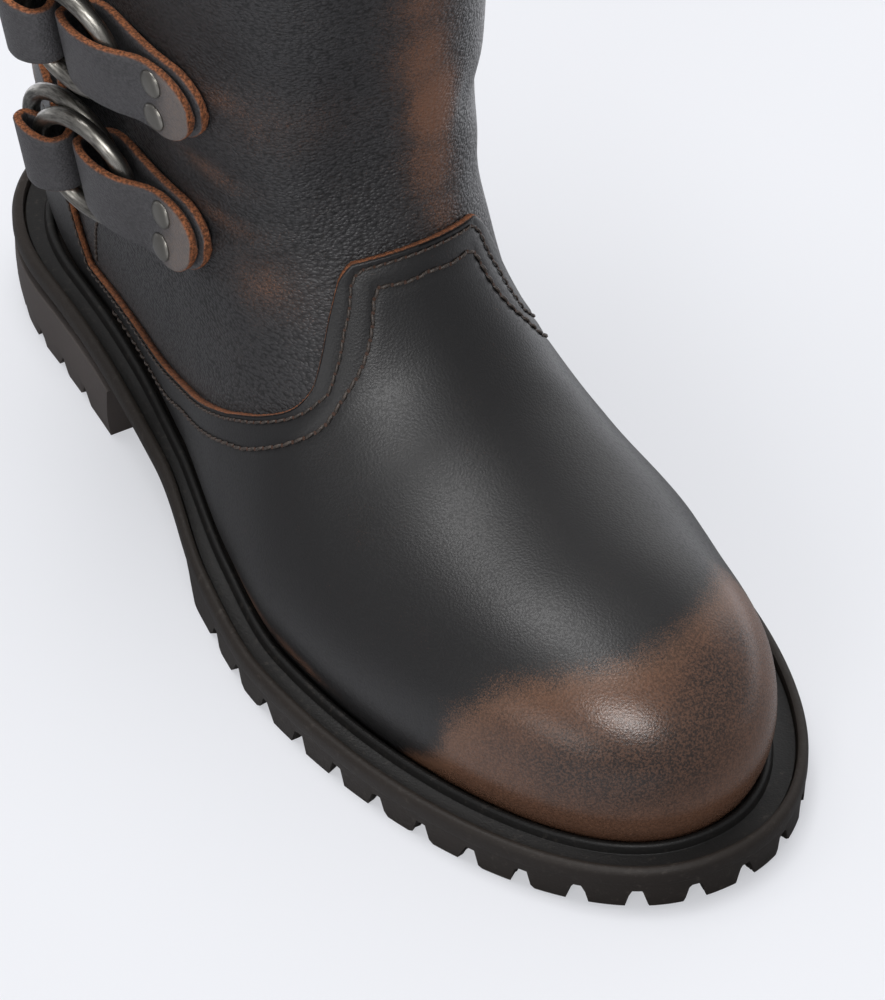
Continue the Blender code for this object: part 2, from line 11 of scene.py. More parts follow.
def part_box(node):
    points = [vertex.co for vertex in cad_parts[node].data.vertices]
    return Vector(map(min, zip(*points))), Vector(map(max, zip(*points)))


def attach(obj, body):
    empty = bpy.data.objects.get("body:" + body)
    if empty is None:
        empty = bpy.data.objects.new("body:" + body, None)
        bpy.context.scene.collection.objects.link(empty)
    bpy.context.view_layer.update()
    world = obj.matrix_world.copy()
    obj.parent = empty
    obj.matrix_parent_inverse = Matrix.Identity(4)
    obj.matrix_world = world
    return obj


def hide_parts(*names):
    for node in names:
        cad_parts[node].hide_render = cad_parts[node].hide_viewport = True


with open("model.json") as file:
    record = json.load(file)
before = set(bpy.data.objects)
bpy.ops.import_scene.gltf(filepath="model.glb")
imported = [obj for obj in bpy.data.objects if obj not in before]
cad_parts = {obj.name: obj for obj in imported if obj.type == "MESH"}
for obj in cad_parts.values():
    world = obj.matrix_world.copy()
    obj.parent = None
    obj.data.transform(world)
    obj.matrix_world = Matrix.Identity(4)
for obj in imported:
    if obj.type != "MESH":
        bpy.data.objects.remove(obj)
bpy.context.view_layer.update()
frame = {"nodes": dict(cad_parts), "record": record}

bl_info = {
    "name": "Biker boot",
    "version": (1, 0, 0),
    "blender": (4, 5, 0),
    "location": "View3D > Sidebar > Boot",
    "description": "Dresses the biker boot in worn leather, thread, rubber and aged metal",
    "category": "Mesh",
}

SLOTS = {row["slot"]: row["base_color"] for row in frame["record"]["materials"]}

# Sizes of the boot in millimetres. s runs forward from the heel, x to the inner side of the foot, z up
MM = 0.001
HEEL_END = -5.0
TOE_END = 285.0
HEEL_ROUND = 46.0
TOE_ROUND = 112.0
TOE_POWER = 2.18
HEEL_POWER = 2.1
TOE_SWING = 4.0
RIM_FORE = 10.6
RIM_HEEL = 24.4
TOE_SPRING = 1.4
SPRING_FROM = 208.0
ARCH_FROM = 57.0
ARCH_TO = 177.0
BREAST = 79.0
WALL = 2.2
PANEL = 1.5
GAP = 0.3
FEATHER_LIFT = 0.8
SEAT_DROP = 3.2
BULGE = 3.2
TOE_DOME = 50.0
TOE_DOME_POWER = 2.25
SHAFT_POWER = 2.15
BLEND_FRONT = 26.0
BLEND_BACK = 16.0
SPINE_END = 44.0
SHEET_BACK = 12.0
SHEET_POWER = 2.2
FLAT_POWER = 0.95
FLAT_DEPTH = 1.5
# Where the flat side and the blend of foot and shaft set in: start, run
FLAT_SIDE = (3.0, 17.0)
FLAT_ALONG = (-20.0, 40.0)
BLEND_ALONG = (60.0, 80.0)
# Size of foot and shaft that turns their forms into millimetres, and bounds of the forms and their shares
FOOT_SCALE = 42.0
SHAFT_SCALE = 48.0
FORM_BOUND = 4.0
SHARE_BOUND = 50.0
# Row sheets: share of the run past the front, last row that follows the sole, power of its fade
SHEET_PAST = 1.3
FOOT_ROWS = .55
FOOT_FADE = 1.6
# Search for the skin along a ray: steps, furthest reach round the boot and to its side
RAY_STEPS = 30
SKIN_REACH = 130.0
SIDE_REACH = 90.0

# Sole outline: share of the length, half width
OUTLINE_OUTER = [(0, 38.0), (.12, 38.0), (.39, 43.4), (.52, 52.0), (.63, 55.5), (1, 55.5)]
OUTLINE_INNER = [(0, 35.5), (.12, 35.5), (.38, 34.0), (.53, 43.4), (.65, 52.5), (.75, 57.0), (1, 57.0)]
# Upper measured in from the sole outline: s, inset
MARGIN = [(0, 12.5), (25, 11.0), (60, 10.5), (80, 10.5), (115, 9.7), (147, 11.0), (180, 10.9),
          (230, 11.3), (285, 12.0)]
# Inner wall drawn in along the ball: s, amount
TUCK = [(0, 0), (60, 0), (140, .5), (185, 3.5), (220, 4.2), (250, 1.5), (285, 0)]
# Height from the feather line to the widest part: s, rise
RISE = [(0, 22), (60, 20), (130, 17), (200, 14), (285, 12)]
# Ridge of the foot: s, height
RIDGE = [(0, 60), (8, 80), (16, 98), (26, 112), (40, 116), (100, 110), (140, 102), (160, 89),
         (175, 75.5), (190, 65.5), (205, 60), (220, 57), (235, 55), (250, 53.5), (285, 52)]
# Roundness of the foot sections: s, power
ROUNDNESS = [(0, 2.3), (100, 2.1), (160, 1.85), (200, 1.9), (240, 2.15), (285, 2.3)]
# Shaft sections: height, centre s, half length, half width
SHAFT = [(20, 84, 56, 16), (60, 84.5, 62, 35), (90, 86, 63.5, 39), (110, 87, 64, 41),
         (130, 88, 64.2, 42.4), (170, 89.5, 64.5, 43.8), (210, 91.3, 65.5, 45.5), (262, 93, 67.5, 48)]
# Outer side of the shaft drawn flat by the straps: height, share
SIDE_FLAT = [(20, 0), (55, .2), (85, 1), (145, 1), (200, .6), (262, .4)]
# Front line of the rows from toe to collar: s, height
FRONT_LINE = [(273.5, 12.8), (278.5, 20), (278.8, 28), (276, 36.5), (270, 43), (260, 49), (246, 53.2),
              (230, 56), (214, 59), (199, 63.5), (185, 71), (172.5, 81.5), (163, 95), (157, 112),
              (154, 134), (153.5, 165), (155, 198), (157.5, 230), (160.5, 262)]
# Back line of the rows: row, height
BACK_LINE = [(0, 25.2), (.1, 28), (.2, 33), (.3, 40), (.4, 52), (.49, 70), (.55, 86), (.62, 108),
             (.72, 145), (.82, 182), (.91, 220), (1, 262)]
# Top edge of the panel: column from heel 0 to front 3, row
SEAM = [(0, .50), (.80, .50), (.90, .46), (.95, .34), (1.0, .235), (1.17, .258), (1.40, .285),
        (1.66, .328), (2.0, .370), (2.25, .388), (2.40, .400), (2.51, .417), (2.58, .440),
        (2.66, .475), (2.71, .496), (2.76, .503), (3.0, .503)]

# Columns of the fine upper and panel on one half: from, to, steps
UPPER_COLUMNS = [(0, .8, 36), (.8, 1.1, 22), (1.1, 2.3, 70), (2.3, 2.8, 34), (2.8, 3, 10)]
PANEL_COLUMNS = [(0, .78, 30), (.78, 1.06, 50), (1.06, 2.3, 92), (2.3, 2.8, 74), (2.8, 3, 16)]
HIDDEN_ROWS = 34
SHAFT_ROWS = 128
LINING_ROWS = 40
PANEL_ROWS = 66
PANEL_EASE = 1.45
# Rounding of the collar's cut edge: inward, up
COLLAR_EDGE = [(.25, .35), (.7, .55), (1.5, .55), (1.95, .35)]
# Fibres along the panel's cut edge: reach, turn from one column to the next
FIBRE_REACH = .08
FIBRE_TURN = 2.399

# Creases of the leather: places as (column, row), half width and depth in millimetres, below zero for a ridge
CREASES = [
    ([(2.81, .628), (2.76, .573), (2.69, .512)], 9.0, 1.1),
    ([(2.96, .690), (2.94, .618), (2.91, .555)], 11.0, .8),
    ([(3.36, .586), (3.50, .578), (3.62, .574)], 7.0, 1.5),
    ([(3.40, .520), (3.55, .516)], 8.0, 1.0),
    ([(2.18, .496), (2.33, .503), (2.52, .506)], 3.2, .7),
    ([(2.19, .512), (2.34, .519), (2.48, .522)], 2.6, -.45),
    ([(2.24, .527), (2.37, .535), (2.52, .542)], 3.0, .6),
    ([(2.16, .590), (2.30, .580), (2.46, .568)], 3.2, .7),
    ([(2.14, .585), (2.20, .570), (2.28, .555)], 3.0, .5),
    ([(2.30, .690), (2.45, .655), (2.62, .640)], 7.0, .8),
    ([(1.05, .60), (1.35, .585), (1.60, .58)], 6.0, .8),
    ([(.10, .615), (.45, .600), (.85, .575)], 6.5, 1.2),
    ([(.15, .560), (.50, .555), (.85, .545)], 6.0, -.7),
    ([(.20, .72), (.55, .70), (.90, .69)], 9.0, 1.0),
    ([(5.15, .600), (5.50, .590), (5.90, .610)], 6.5, 1.2),
    ([(4.10, .545), (4.45, .560), (4.85, .570)], 6.0, 1.1),
    ([(4.00, .610), (4.40, .640), (4.80, .650)], 8.0, 1.2),
    ([(3.75, .500), (4.00, .520), (4.25, .525)], 5.0, .8),
    ([(4.30, .80), (4.60, .78), (4.95, .79)], 11.0, 1.3),
    ([(1.20, .86), (1.60, .83), (2.05, .84)], 11.0, 1.0),
    ([(2.60, .80), (2.80, .835), (3.10, .845)], 11.0, .9),
]

# Brown rubs on the shaft: column, row, reach round the leg, reach up, strength
SHAFT_RUBS = [
    (3.13, .598, 8, 13, 1.0), (3.09, .640, 9, 14, .70), (3.09, .690, 10, 18, .48), (3.11, .555, 8, 14, .62),
    (3.12, .520, 7, 10, .45), (3.10, .760, 10, 24, .28), (2.37, .640, 16, 5, .30), (2.26, .578, 12, 3, .36),
    (2.30, .540, 14, 3, .36), (2.46, .492, 13, 8, .34), (2.55, .620, 20, 9, .22), (4.30, .600, 18, 14, .28),
    (4.75, .520, 16, 6, .26), (5.60, .610, 16, 12, .28), (.35, .740, 14, 24, .26), (4.50, .860, 20, 14, .24),
    (1.70, .870, 22, 12, .22),
]
# Rub along the collar: reach down from it, strength
COLLAR_WEAR = 7.0
COLLAR_RUB = .45
# Edge of the burnished toe: column, row
BURNISH = [(1.86, -.03), (1.96, .045), (2.07, .085), (2.30, .120), (2.51, .147), (2.68, .160), (2.81, .165),
           (2.93, .168), (3.02, .168), (3.13, .173), (3.24, .180), (3.37, .177), (3.48, .173), (3.79, .103),
           (4.02, .02), (4.12, -.04)]
ROW_LENGTH = 430.0
BURNISH_FADE = 16.0
# Dark smoke left inside the burnish: column, row, reach, strength
SMOKE = [(3.20, .122, 15, .90), (3.33, .136, 11, .75), (3.10, .104, 15, .80), (3.00, .090, 14, .85),
         (2.90, .083, 13, .90), (2.80, .081, 12, .92), (2.70, .081, 12, .90), (2.60, .084, 12, .85),
         (2.50, .088, 11, .70), (2.38, .095, 10, .50)]
# Brown rubs on the panel: column, row, reach round, reach up, strength
PANEL_RUBS = [(1.60, .060, 16, 3, .60), (1.72, .052, 14, 3, .55), (4.30, .060, 18, 4, .50),
              (.10, .20, 14, 10, .40), (5.80, .30, 10, 12, .35)]

# Stitch rows of one half: column, row
SECOND_ROW = [(1.06, .130), (1.24, .160), (1.52, .258), (1.92, .333), (2.15, .355), (2.34, .372), (2.49, .388),
              (2.60, .410), (2.69, .430), (2.76, .455), (2.79, .473), (2.81, .482), (2.92, .480), (3.0, .482)]
HEEL_SEAM_ROW = [(1.02, .270), (1.05, .330), (1.13, .400), (1.21, .438), (1.26, .463), (1.34, .505)]
EDGE_ROW_INSET = 2.1
COLLAR_ROW = .972
ROW_POINTS = 700
EDGE_POINTS = 2400
SEAM_POINTS = 80
COLLAR_POINTS = 900
# Groove that the thread lines press into the panel: width, also of the painted shade in it, depth
SEWN_WIDTH = .85
SEWN_DEPTH = .28
# Edge row of the panel, as shares of the other rows' pitch and thread
EDGE_PITCH = .82
EDGE_THREAD = .8
STITCH_LIFT = .05
STITCH_SIDES = 8
STITCH_SHARE = .47
STITCH_SLANT = .13
THREAD_FLAT = .85
# Rings along one stitch: share of its half length, share of the thread radius, share of its rise
STITCH_RINGS = [(-1, .35, -.9), (-.8, .8, -.2), (-.4, 1, .35), (0, 1, .45), (.4, 1, .35), (.8, .8, -.2),
                (1, .35, -.9)]
# Needle holes, flat discs of painted shade: radius in thread radii, lift, crown, share of the raw leather's colour
# they keep
HOLE_SIZE = 1.1
HOLE_LIFT = .02
HOLE_CROWN = .06
HOLE_SHADE = .16

# Sole
SOLE_STATIONS = 300
HEEL_STATIONS = 130
CAD_STATIONS = 31
SOLE_ACROSS = 64
HEEL_ACROSS = 40
SOLE_SHARP = 32
WELT_SHARP = 40
LUG_WIDTH = 3.8
LUG_SPACING = 13.6
LUG_START = 147.0
LUG_REACH = 11.0
BAR_LENGTH = 46.0
# Walls of the notches: reach past their width, slope of the sides, slope of the end
NOTCH_PAST = .7
NOTCH_SIDE = 1.2
NOTCH_END = .9
# Stretches of both edges that are notched: from, to
LUG_REACHES = (LUG_START + 8, TOE_END - .2)
HEEL_REACHES = (HEEL_END + 9, BREAST - 10)
HEEL_LUG_SPACING = 12.5
HEEL_LUG_HALF = 1.52
HEEL_LUG_REACH = 7.0
HEEL_LUG_DEPTH = 3.2
TREAD_BARS = [(164, 10), (186, -10), (208, 10), (230, -10)]
SHANK_THICK = 6.5
HEEL_SEAT = 7.6
HEEL_TAPER = 1.2
BREAST_LEAN = 1.6
RECESS = 1.5
RECESS_END = (85.0, 45.0)
SEAT_STEP = 8.0
LUG_STEP = 6.0
WALL_INSET = .16
FOOT_INSET = .34
# Sole edge from the seat over its top to the wall: inset, drop
SOLE_PROFILE = [(14, -SEAT_DROP), (2.9, -SEAT_DROP), (2.65, -3.0), (2.5, -.55), (2.35, -.16), (2.0, 0), (1.5, .02),
                (.95, -.1), (.5, -.42), (.15, -.95), (0, -1.5), (0, -2.6), (0, -3.7), (.08, -3.95)]
# Heel block from its seat down: share of the height, inset
HEEL_PROFILE = [(1, .55), (.985, .32), (.955, .3), (.7, .3), (.45, .5), (.3, .75)]
# Welt: band as inset and drop, lip as distance out from the upper and drop
WELT_BAND = [(2.9, -SEAT_DROP + GAP), (2.9, -1.65), (3.05, -1.5)]
WELT_LIP = [(4.85, -1.5), (4.6, -1.3), (4.3, .25), (4.15, .55), (3.85, .82), (3.5, .92), (3.05, .86), (2.7, .66),
            (2.6, .4), (2.6, -SEAT_DROP + GAP)]

# Straps and rings
STRAP_THICK = 2.2
STRAP_LEAN = 9.0
STRAP_HALF = 9.2
TAIL_ROUND = 9.6
TIP_HALF = 1.5
WORN_LENGTH = 11.0
STRAP_STATIONS = 170
STRAP_ACROSS = 9
RING_SEGMENTS = 96
WIRE_SEGMENTS = 20
RIVET_SEGMENTS = 32
UNIT_HEIGHTS = {"lower": 93.0, "upper": 130.8}
RING_RADIUS = 14.2
RING_LIFT = 1.8
RING_WIRE = 2.1
# Waves of the hand-bent rings: share of the wire or radius, waves in a turn
WIRE_WAVES = [(.02, 3), (.012, 7)]
RADIUS_WAVE = (.004, 2)
# Streaks along the wire: change in a radian, change from unit to unit
STREAK_RUN = 1.6
UNIT_PHASE = 2.1
# Rings of one unit: name, centre s, stand-off at the centre, yaw in degrees
RINGS = [("front", 91.2, 10.3, 17.0), ("back", 82.2, 8.3, 14.0)]
# Front strap from its under end round the fold: s, stand-off of its middle, half width, lean share
FRONT_STRAP = [(130.4, 1.6, 2.2, 0), (128.8, 1.55, 5.4, 0), (125.6, 1.5, 7.9, 0), (121, 1.45, 9.1, 0),
               (113, 1.6, 9.2, 0), (104, 1.6, 9.2, 0), (96, 1.45, 9.2, 0), (91.4, 1.7, 8.9, .2),
               (88.5, 2.8, 8.1, .6), (87.5, 5.0, 7.8, 1), (87.5, 7.6, 7.8, 1), (88.9, 9.8, 8.5, 1),
               (92.2, 11.2, 9.2, 1), (97, 11.7, 9.2, 1), (100.8, 11.3, 9.2, 1), (104.6, 10.3, 9.2, 1),
               (107.8, 8.9, 9.2, .8), (110.6, 7.2, 9.2, .5), (113.4, 5.7, 9.2, .2), (117, 4.95, 9.2, 0),
               (121.2, 4.85, 8.9, 0), (125.2, 4.75, 7.2, 0), (128, 4.7, 4.6, 0), (129.2, 4.7, 1.8, 0)]
# Back strap from its fixed end round the fold: s, stand-off of its middle, half width, lean share
BACK_STRAP = [(27, 2.1, 2.2, 0), (28.2, 2.1, 5.2, 0), (31, 2.1, 7.6, 0), (36, 2.0, 9.0, 0),
              (44, 1.8, 9.2, 0), (52, 1.8, 9.2, .2), (60, 2.1, 9.2, .6), (68, 3.0, 9.2, 1),
              (74, 5.0, 9.2, 1), (80, 7.3, 8.8, 1), (83.7, 8.9, 8.0, 1), (85.3, 11.6, 7.7, 1),
              (85.0, 14.4, 7.7, 1), (82.6, 16.8, 8.3, 1), (79, 18.0, 9.0, 1), (75.9, 17.5, 9.0, 1),
              (74.2, 15.0, 8.2, 1), (75.9, 11.2, 7.0, 1), (75.4, 8.6, 7.0, 1), (72.2, 6.9, 7.4, 1),
              (66.4, 5.9, 8.4, 1), (60, 5.4, 8.9, .8), (53, 5.2, 9.2, .5), (46.5, 4.9, 8.8, .2),
              (42.5, 4.7, 6.8, .1), (41, 4.7, 3.6, .1)]
RIVET_RADIUS = 3.55
RIVET_RISE = 1.0
RIVET_SPREAD = 4.7
FRONT_RIVET_S = 118.4
RIVET_SEAT = 6.1
# Rivet head from its crown down to its seat: share of the radius, share of the rise
RIVET_PROFILE = [(0, 1), (.25, .985), (.48, .93), (.66, .82), (.80, .66), (.91, .44), (.98, .2), (1, 0), (.97, -.3)]

# Fixed colours of the materials, and how fine the fibres of cut edges are
PORE_BLACK = (.003, .003, .003, 1)
# Painted shade: near-black in the grooves round the panel's thread lines
GROOVE_SHADE_BLACK = (.006, .005, .005, 1)
DUST = (.10, .085, .072, 1)
EDGE_FIBRE = 1500.0
# Bright and dark streaks as shares of the metal's colour
RING_SHARES = (.66, .17)
RIVET_SHARES = (.62, .30)

# Camera of the photograph: angles in degrees, distance and target in millimetres, lens for a 36 mm tall sensor
CAMERA_AZIMUTH = -29.8
CAMERA_ELEVATION = 40.77
CAMERA_ROLL = -.37
CAMERA_DISTANCE = 1596.32
CAMERA_TARGET = (-17.12, -198.08, 60.0)
CAMERA_LENS = 258.12
CAMERA_SENSOR = 36.0

# Stage
# Share of the floor's light from the lamps and from itself, and its painted light for the boot's reflections and
# bounce: brighter near the boot and behind it, glowing behind it
FLOOR_MATT = .42
FLOOR_GLOW = .575
FLOOR_BOUNCE = (.42, 1.0)
BEHIND_REACH = (.14, .40)
FRONT_REACH = (.02, -.08)
LEFT_REACH = (.0, -.08)
BEHIND_GLOW = 1.5
# Softboxes: name, direction from the boot, distance, width, height, power, lights matt surfaces, shows in gloss
SOFTBOXES = [("overhead", (-.06, .20, .97), 1.5, .9, .9, 17.0, True, False),
             ("front left", (-.66, -.56, .50), 1.7, .45, .45, 5.0, True, False),
             ("back right", (.80, .50, .33), 1.6, 1.2, .8, 3.5, True, True),
             ("front gloss", (-.30, -.57, .76), 1.7, .80, .42, 17.0, False, True),
             ("left gloss", (-.88, -.36, .30), 1.7, .8, .5, 4.0, False, True),
             ("top gloss", (-.13, .20, .97), 1.5, .40, .78, 13.0, False, True)]
# Half width of the floor in metres, light of the surround, point that the softboxes face
FLOOR_REACH = 6.0
SURROUND_LIGHT = .54
LIGHT_TARGET = (0, -.06, .05)


# Form of the boot
def ease(t):
    """Smooth step from 0 to 1"""
    t = np.clip(t, 0, 1)
    return t * t * (3 - 2 * t)


def step_in(value, place):
    """Smooth step that sets in at a start and takes a run"""
    return ease((value - place[0]) / place[1])


def hermite(knots, values, slopes, x):
    """Smooth line through values with given slopes at knots"""
    i = np.clip(np.searchsorted(knots, x, side="right") - 1, 0, len(knots) - 2)
    h = knots[i + 1] - knots[i]
    u = (x - knots[i]) / h
    if values.ndim > 1:
        h, u = h[:, None], u[:, None]
    start = values[i] * (1 + 2 * u) + slopes[i] * h * u
    end = values[i + 1] * (3 - 2 * u) + slopes[i + 1] * h * (u - 1)
    return start * (1 - u) ** 2 + end * u * u


def curve(table, x):
    """Smooth line through the two columns of a table"""
    a, b = np.array(table, float).T
    slope = np.diff(b) / np.diff(a)
    m = np.empty(len(a))
    m[0], m[-1] = slope[0], slope[-1]
    pair = slope[:-1] + slope[1:]
    both = slope[:-1] * slope[1:]
    m[1:-1] = np.where(both > 0, 2 * both / np.where(pair == 0, 1, pair), 0)
    return hermite(a, b, m, np.clip(x, a[0], a[-1]))


def run_along(line):
    """Length along a line up to each of its points"""
    return np.concatenate([[0], np.cumsum(np.linalg.norm(np.diff(line, axis=0), axis=-1))])


def plan(s, inset):
    """Outer and inner edge of the sole outline drawn in by an inset"""
    t = np.clip((s - HEEL_END - inset) / (TOE_END - HEEL_END - 2 * inset), 0, 1)
    heel_run = np.minimum(t * TOE_END / HEEL_ROUND, 1)
    toe_run = np.minimum((1 - t) * TOE_END / TOE_ROUND, 1)
    heel = np.maximum(1 - (1 - heel_run) ** HEEL_POWER, 0) ** (1 / HEEL_POWER)
    toe = np.maximum(1 - (1 - toe_run) ** TOE_POWER, 0) ** (1 / TOE_POWER)
    middle = TOE_SWING * ease((t - .6) / .4)
    outer = middle - (curve(OUTLINE_OUTER, t) - inset) * heel * toe
    inner = middle + (curve(OUTLINE_INNER, t) - inset) * heel * toe
    return outer, inner


def spring(s):
    """Rise of the toe off the floor"""
    return TOE_SPRING * np.clip((s - SPRING_FROM) / (TOE_END - SPRING_FROM), 0, 1) ** 2


def rim(s):
    """Height of the top of the sole edge"""
    return RIM_FORE + (RIM_HEEL - RIM_FORE) * ease((ARCH_TO - s) / (ARCH_TO - ARCH_FROM)) + spring(s)


def foot_form(x, s, z):
    """Negative inside the foot part of the upper"""
    feather = rim(s) + FEATHER_LIFT
    widest = feather + curve(RISE, s)
    margin = curve(MARGIN, s)
    low = np.clip((widest - z) / (widest - feather), 0, 1.4)
    inset = margin - BULGE * (1 - low ** 2)
    outer, inner = plan(s, inset)
    inner = inner - curve(TUCK, s)
    half = np.maximum((inner - outer) / 2, .02)
    toe_run = np.clip((TOE_END - margin + BULGE - s) / TOE_DOME, 0, 1)
    dome = np.maximum(1 - (1 - toe_run) ** TOE_DOME_POWER, 0) ** (1 / TOE_DOME_POWER)
    tall = np.maximum((curve(RIDGE, s) - widest) * dome, .02)
    up = np.minimum(np.maximum(z - widest, 0) / tall, SHARE_BOUND)
    past = np.maximum(np.maximum(HEEL_END + inset - s, s - TOE_END + inset), 0)
    side = np.minimum(np.where(past > 0, 1 + past, np.abs(x - (outer + inner) / 2) / half), SHARE_BOUND)
    power = curve(ROUNDNESS, s)
    return np.minimum((side ** power + up ** power) ** (1 / power) - 1, FORM_BOUND) * FOOT_SCALE


def shaft_form(x, s, z):
    """Negative inside the shaft"""
    table = np.array(SHAFT, float)
    centre = curve(table[:, [0, 1]], z)
    half_length = curve(table[:, [0, 2]], z)
    flat = curve(SIDE_FLAT, z) * step_in(-x, FLAT_SIDE) * step_in(s - centre, FLAT_ALONG)
    half_width = curve(table[:, [0, 3]], z) - FLAT_DEPTH * flat
    power = SHAFT_POWER + FLAT_POWER * flat
    ring = (np.abs(x) / half_width) ** power + (np.abs(s - centre) / half_length) ** power
    return np.minimum(ring ** (1 / power) - 1, FORM_BOUND) * SHAFT_SCALE


def boot_form(x, s, z):
    """Foot and shaft blended together"""
    foot = foot_form(x, s, z)
    shaft = shaft_form(x, s, z)
    blend = BLEND_BACK + (BLEND_FRONT - BLEND_BACK) * step_in(s, BLEND_ALONG)
    near = np.maximum(blend - np.abs(foot - shaft), 0) / blend
    return np.minimum(foot, shaft) - near * near * blend / 4


def ray_reach(within, shape, furthest):
    """Distance at which rays leave a form, found by halving"""
    low = np.zeros(shape)
    high = low + furthest
    for step in range(RAY_STEPS):
        reach = (low + high) / 2
        inside = within(reach)
        low = np.where(inside, reach, low)
        high = np.where(inside, high, reach)
    return low


def row_ends(row):
    """Front s, front height and back height of a row"""
    line = np.array(FRONT_LINE, float)
    run = run_along(line)
    run = run / run[-1]
    front_s, front_z = (curve(np.stack([run, line[:, k]], -1), row) for k in (0, 1))
    return front_s, front_z, curve(BACK_LINE, row)


def row_height(s, row):
    """Height of a row sheet above a place along the foot"""
    front_s, front_z, back_z = row_ends(row)
    run = np.clip((s - SHEET_BACK) / (front_s - SHEET_BACK), 0, SHEET_PAST) ** SHEET_POWER
    first_s, first_z, first_back = row_ends(row * 0)
    first_run = np.clip((s - SHEET_BACK) / (first_s - SHEET_BACK), 0, SHEET_PAST) ** SHEET_POWER
    base = first_back + (first_z - first_back) * first_run
    foot = rim(s) - SEAT_DROP + GAP - base
    return back_z + (front_z - back_z) * run + foot * np.maximum(1 - row / FOOT_ROWS, 0) ** FOOT_FADE


def skin(column, row):
    """Points of the outer face of the upper: column 0 at the heel centre, 3 at the front, 6 at the heel"""
    half = np.where(column <= 3, column, 6 - column)
    side = np.where(column <= 3, -1.0, 1.0)
    turn = np.radians(90 * np.where(half < 1, half, np.where(half > 2, 3 - half, 1.0)))
    across = side * np.sin(turn)
    along = np.where(half < 1, -np.cos(turn), np.where(half > 2, np.cos(turn), 0.0))
    back = SHEET_BACK + SPINE_END
    start = back + (row_ends(row)[0] - SPINE_END - back) * np.clip(half - 1, 0, 1)

    def within(reach):
        s = start + along * reach
        return boot_form(across * reach, s, row_height(s, row)) < 0

    reach = ray_reach(within, start.shape, SKIN_REACH)
    s = start + along * reach
    return np.stack([across * reach, -s, row_height(s, row)], -1)


def seam(column):
    """Row of the top edge of the panel"""
    return curve(SEAM, np.where(column <= 3, column, 6 - column))


def unit(vectors):
    """Vectors brought to length one"""
    return vectors / np.maximum(np.linalg.norm(vectors, axis=-1, keepdims=True), 1e-9)


def skin_grid(column, rows):
    """Skin points that close round their columns and the directions out of them, level along the seat"""
    base = skin(np.broadcast_to(column, rows.shape), rows)
    around = np.roll(base, -1, 1) - np.roll(base, 1, 1)
    out = unit(np.cross(around, np.gradient(base, axis=0)))
    out[0, :, 2] = 0
    out[0] = unit(out[0])
    return base, out


def side_width(s, z):
    """Distance of the outer side of the boot from the middle line"""
    s, z = np.broadcast_arrays(np.asarray(s, float), np.asarray(z, float))
    return ray_reach(lambda reach: boot_form(-reach, s, z) < 0, s.shape, SIDE_REACH)


def side_frame(s, z):
    """Point on the outer side of the shaft at a height and the direction out of it, level"""
    near = side_width(np.asarray(s, float) + np.array([-.5, 0, .5])[:, None], z)
    out = np.stack([-np.ones_like(near[1]), near[2] - near[0]], -1)
    return np.stack([-near[1], -np.asarray(s, float)], -1), unit(out)


def places(table):
    """Points of the skin at (column, row) pairs"""
    spots = np.array([row[:2] for row in table], float)
    return skin(spots[:, 0], spots[:, 1])


def crease_depth(points, strength):
    """How far creases draw the leather in at points of the skin"""
    total = np.zeros(points.shape[:-1])
    for spots, width, depth in CREASES:
        line = places(spots)
        nearest = np.full(total.shape, 1e9)
        for start, end in zip(line[:-1], line[1:]):
            way = end - start
            t = np.clip(((points - start) @ way) / (way @ way), 0, 1)
            nearest = np.minimum(nearest, ((points - start - t[..., None] * way) ** 2).sum(-1))
        total += depth * np.exp(-nearest / width ** 2)
    return total * strength


def rubbed(points, table):
    """How strongly the leather is rubbed at points, from a table of marks"""
    total = np.zeros(points.shape[:-1])
    for centre, (_, _, reach, tall, strength) in zip(places(table), table):
        away = points - centre
        level = (away[..., 0] ** 2 + away[..., 1] ** 2) / reach ** 2 + away[..., 2] ** 2 / tall ** 2
        total = np.maximum(total, strength * np.exp(-level))
    return total


def spread(parts):
    """Columns of both halves from a table of from, to and steps"""
    half = np.concatenate([np.linspace(a, b, count, endpoint=False) for a, b, count in parts] + [[parts[-1][1]]])
    return np.concatenate([half[:-1], 6 - half[:0:-1]])


def outline_shift():
    """Place of the boot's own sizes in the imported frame"""
    share = (1 - np.cos(np.linspace(0, pi, CAD_STATIONS))) / 2
    edge = plan(HEEL_END + (TOE_END - HEEL_END) * share, 0.0)[0].min()
    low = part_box("outsole")[0]
    return np.array([low.x / MM - edge, low.y / MM + TOE_END, 0.0])


SHIFT = outline_shift()


# Meshes
def new_object(name, data):
    """Object linked into the scene"""
    made = bpy.data.objects.new(name, data)
    bpy.context.scene.collection.objects.link(made)
    return made


def make_piece(name, points, faces, looks, node=None, masks=None, look_index=None, sharp=None):
    """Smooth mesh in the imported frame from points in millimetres, riding on the boot"""
    mesh = bpy.data.meshes.new(name)
    place = (np.asarray(points, float).reshape(-1, 3) + SHIFT) * MM
    mesh.from_pydata(place.tolist(), [], faces)
    mesh.validate()
    for look in looks:
        mesh.materials.append(look)
    if look_index is not None:
        mesh.polygons.foreach_set("material_index", np.asarray(look_index, np.int32))
    mesh.polygons.foreach_set("use_smooth", np.ones(len(mesh.polygons), bool))
    for label, values in (masks or {}).items():
        layer = mesh.attributes.new(label, "FLOAT", "POINT")
        layer.data.foreach_set("value", np.asarray(values, np.float32).ravel())
    if sharp is not None:
        mesh.set_sharp_from_angle(angle=radians(sharp))
    piece = new_object(name, mesh)
    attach(piece, "root")
    if node is not None:
        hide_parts(node)


def strip_faces(rows, count, close_rows=False, start=0):
    """Quads over loops of points that close round"""
    k = np.arange(count)
    m = (k + 1) % count
    faces = []
    for row in range(rows if close_rows else rows - 1):
        a = start + row * count
        b = start + ((row + 1) % rows) * count
        faces += np.stack([a + k, a + m, b + m, b + k], -1).tolist()
    return faces


def circle(count):
    """Even angles of a full turn"""
    return np.arange(count) * 2 * pi / count


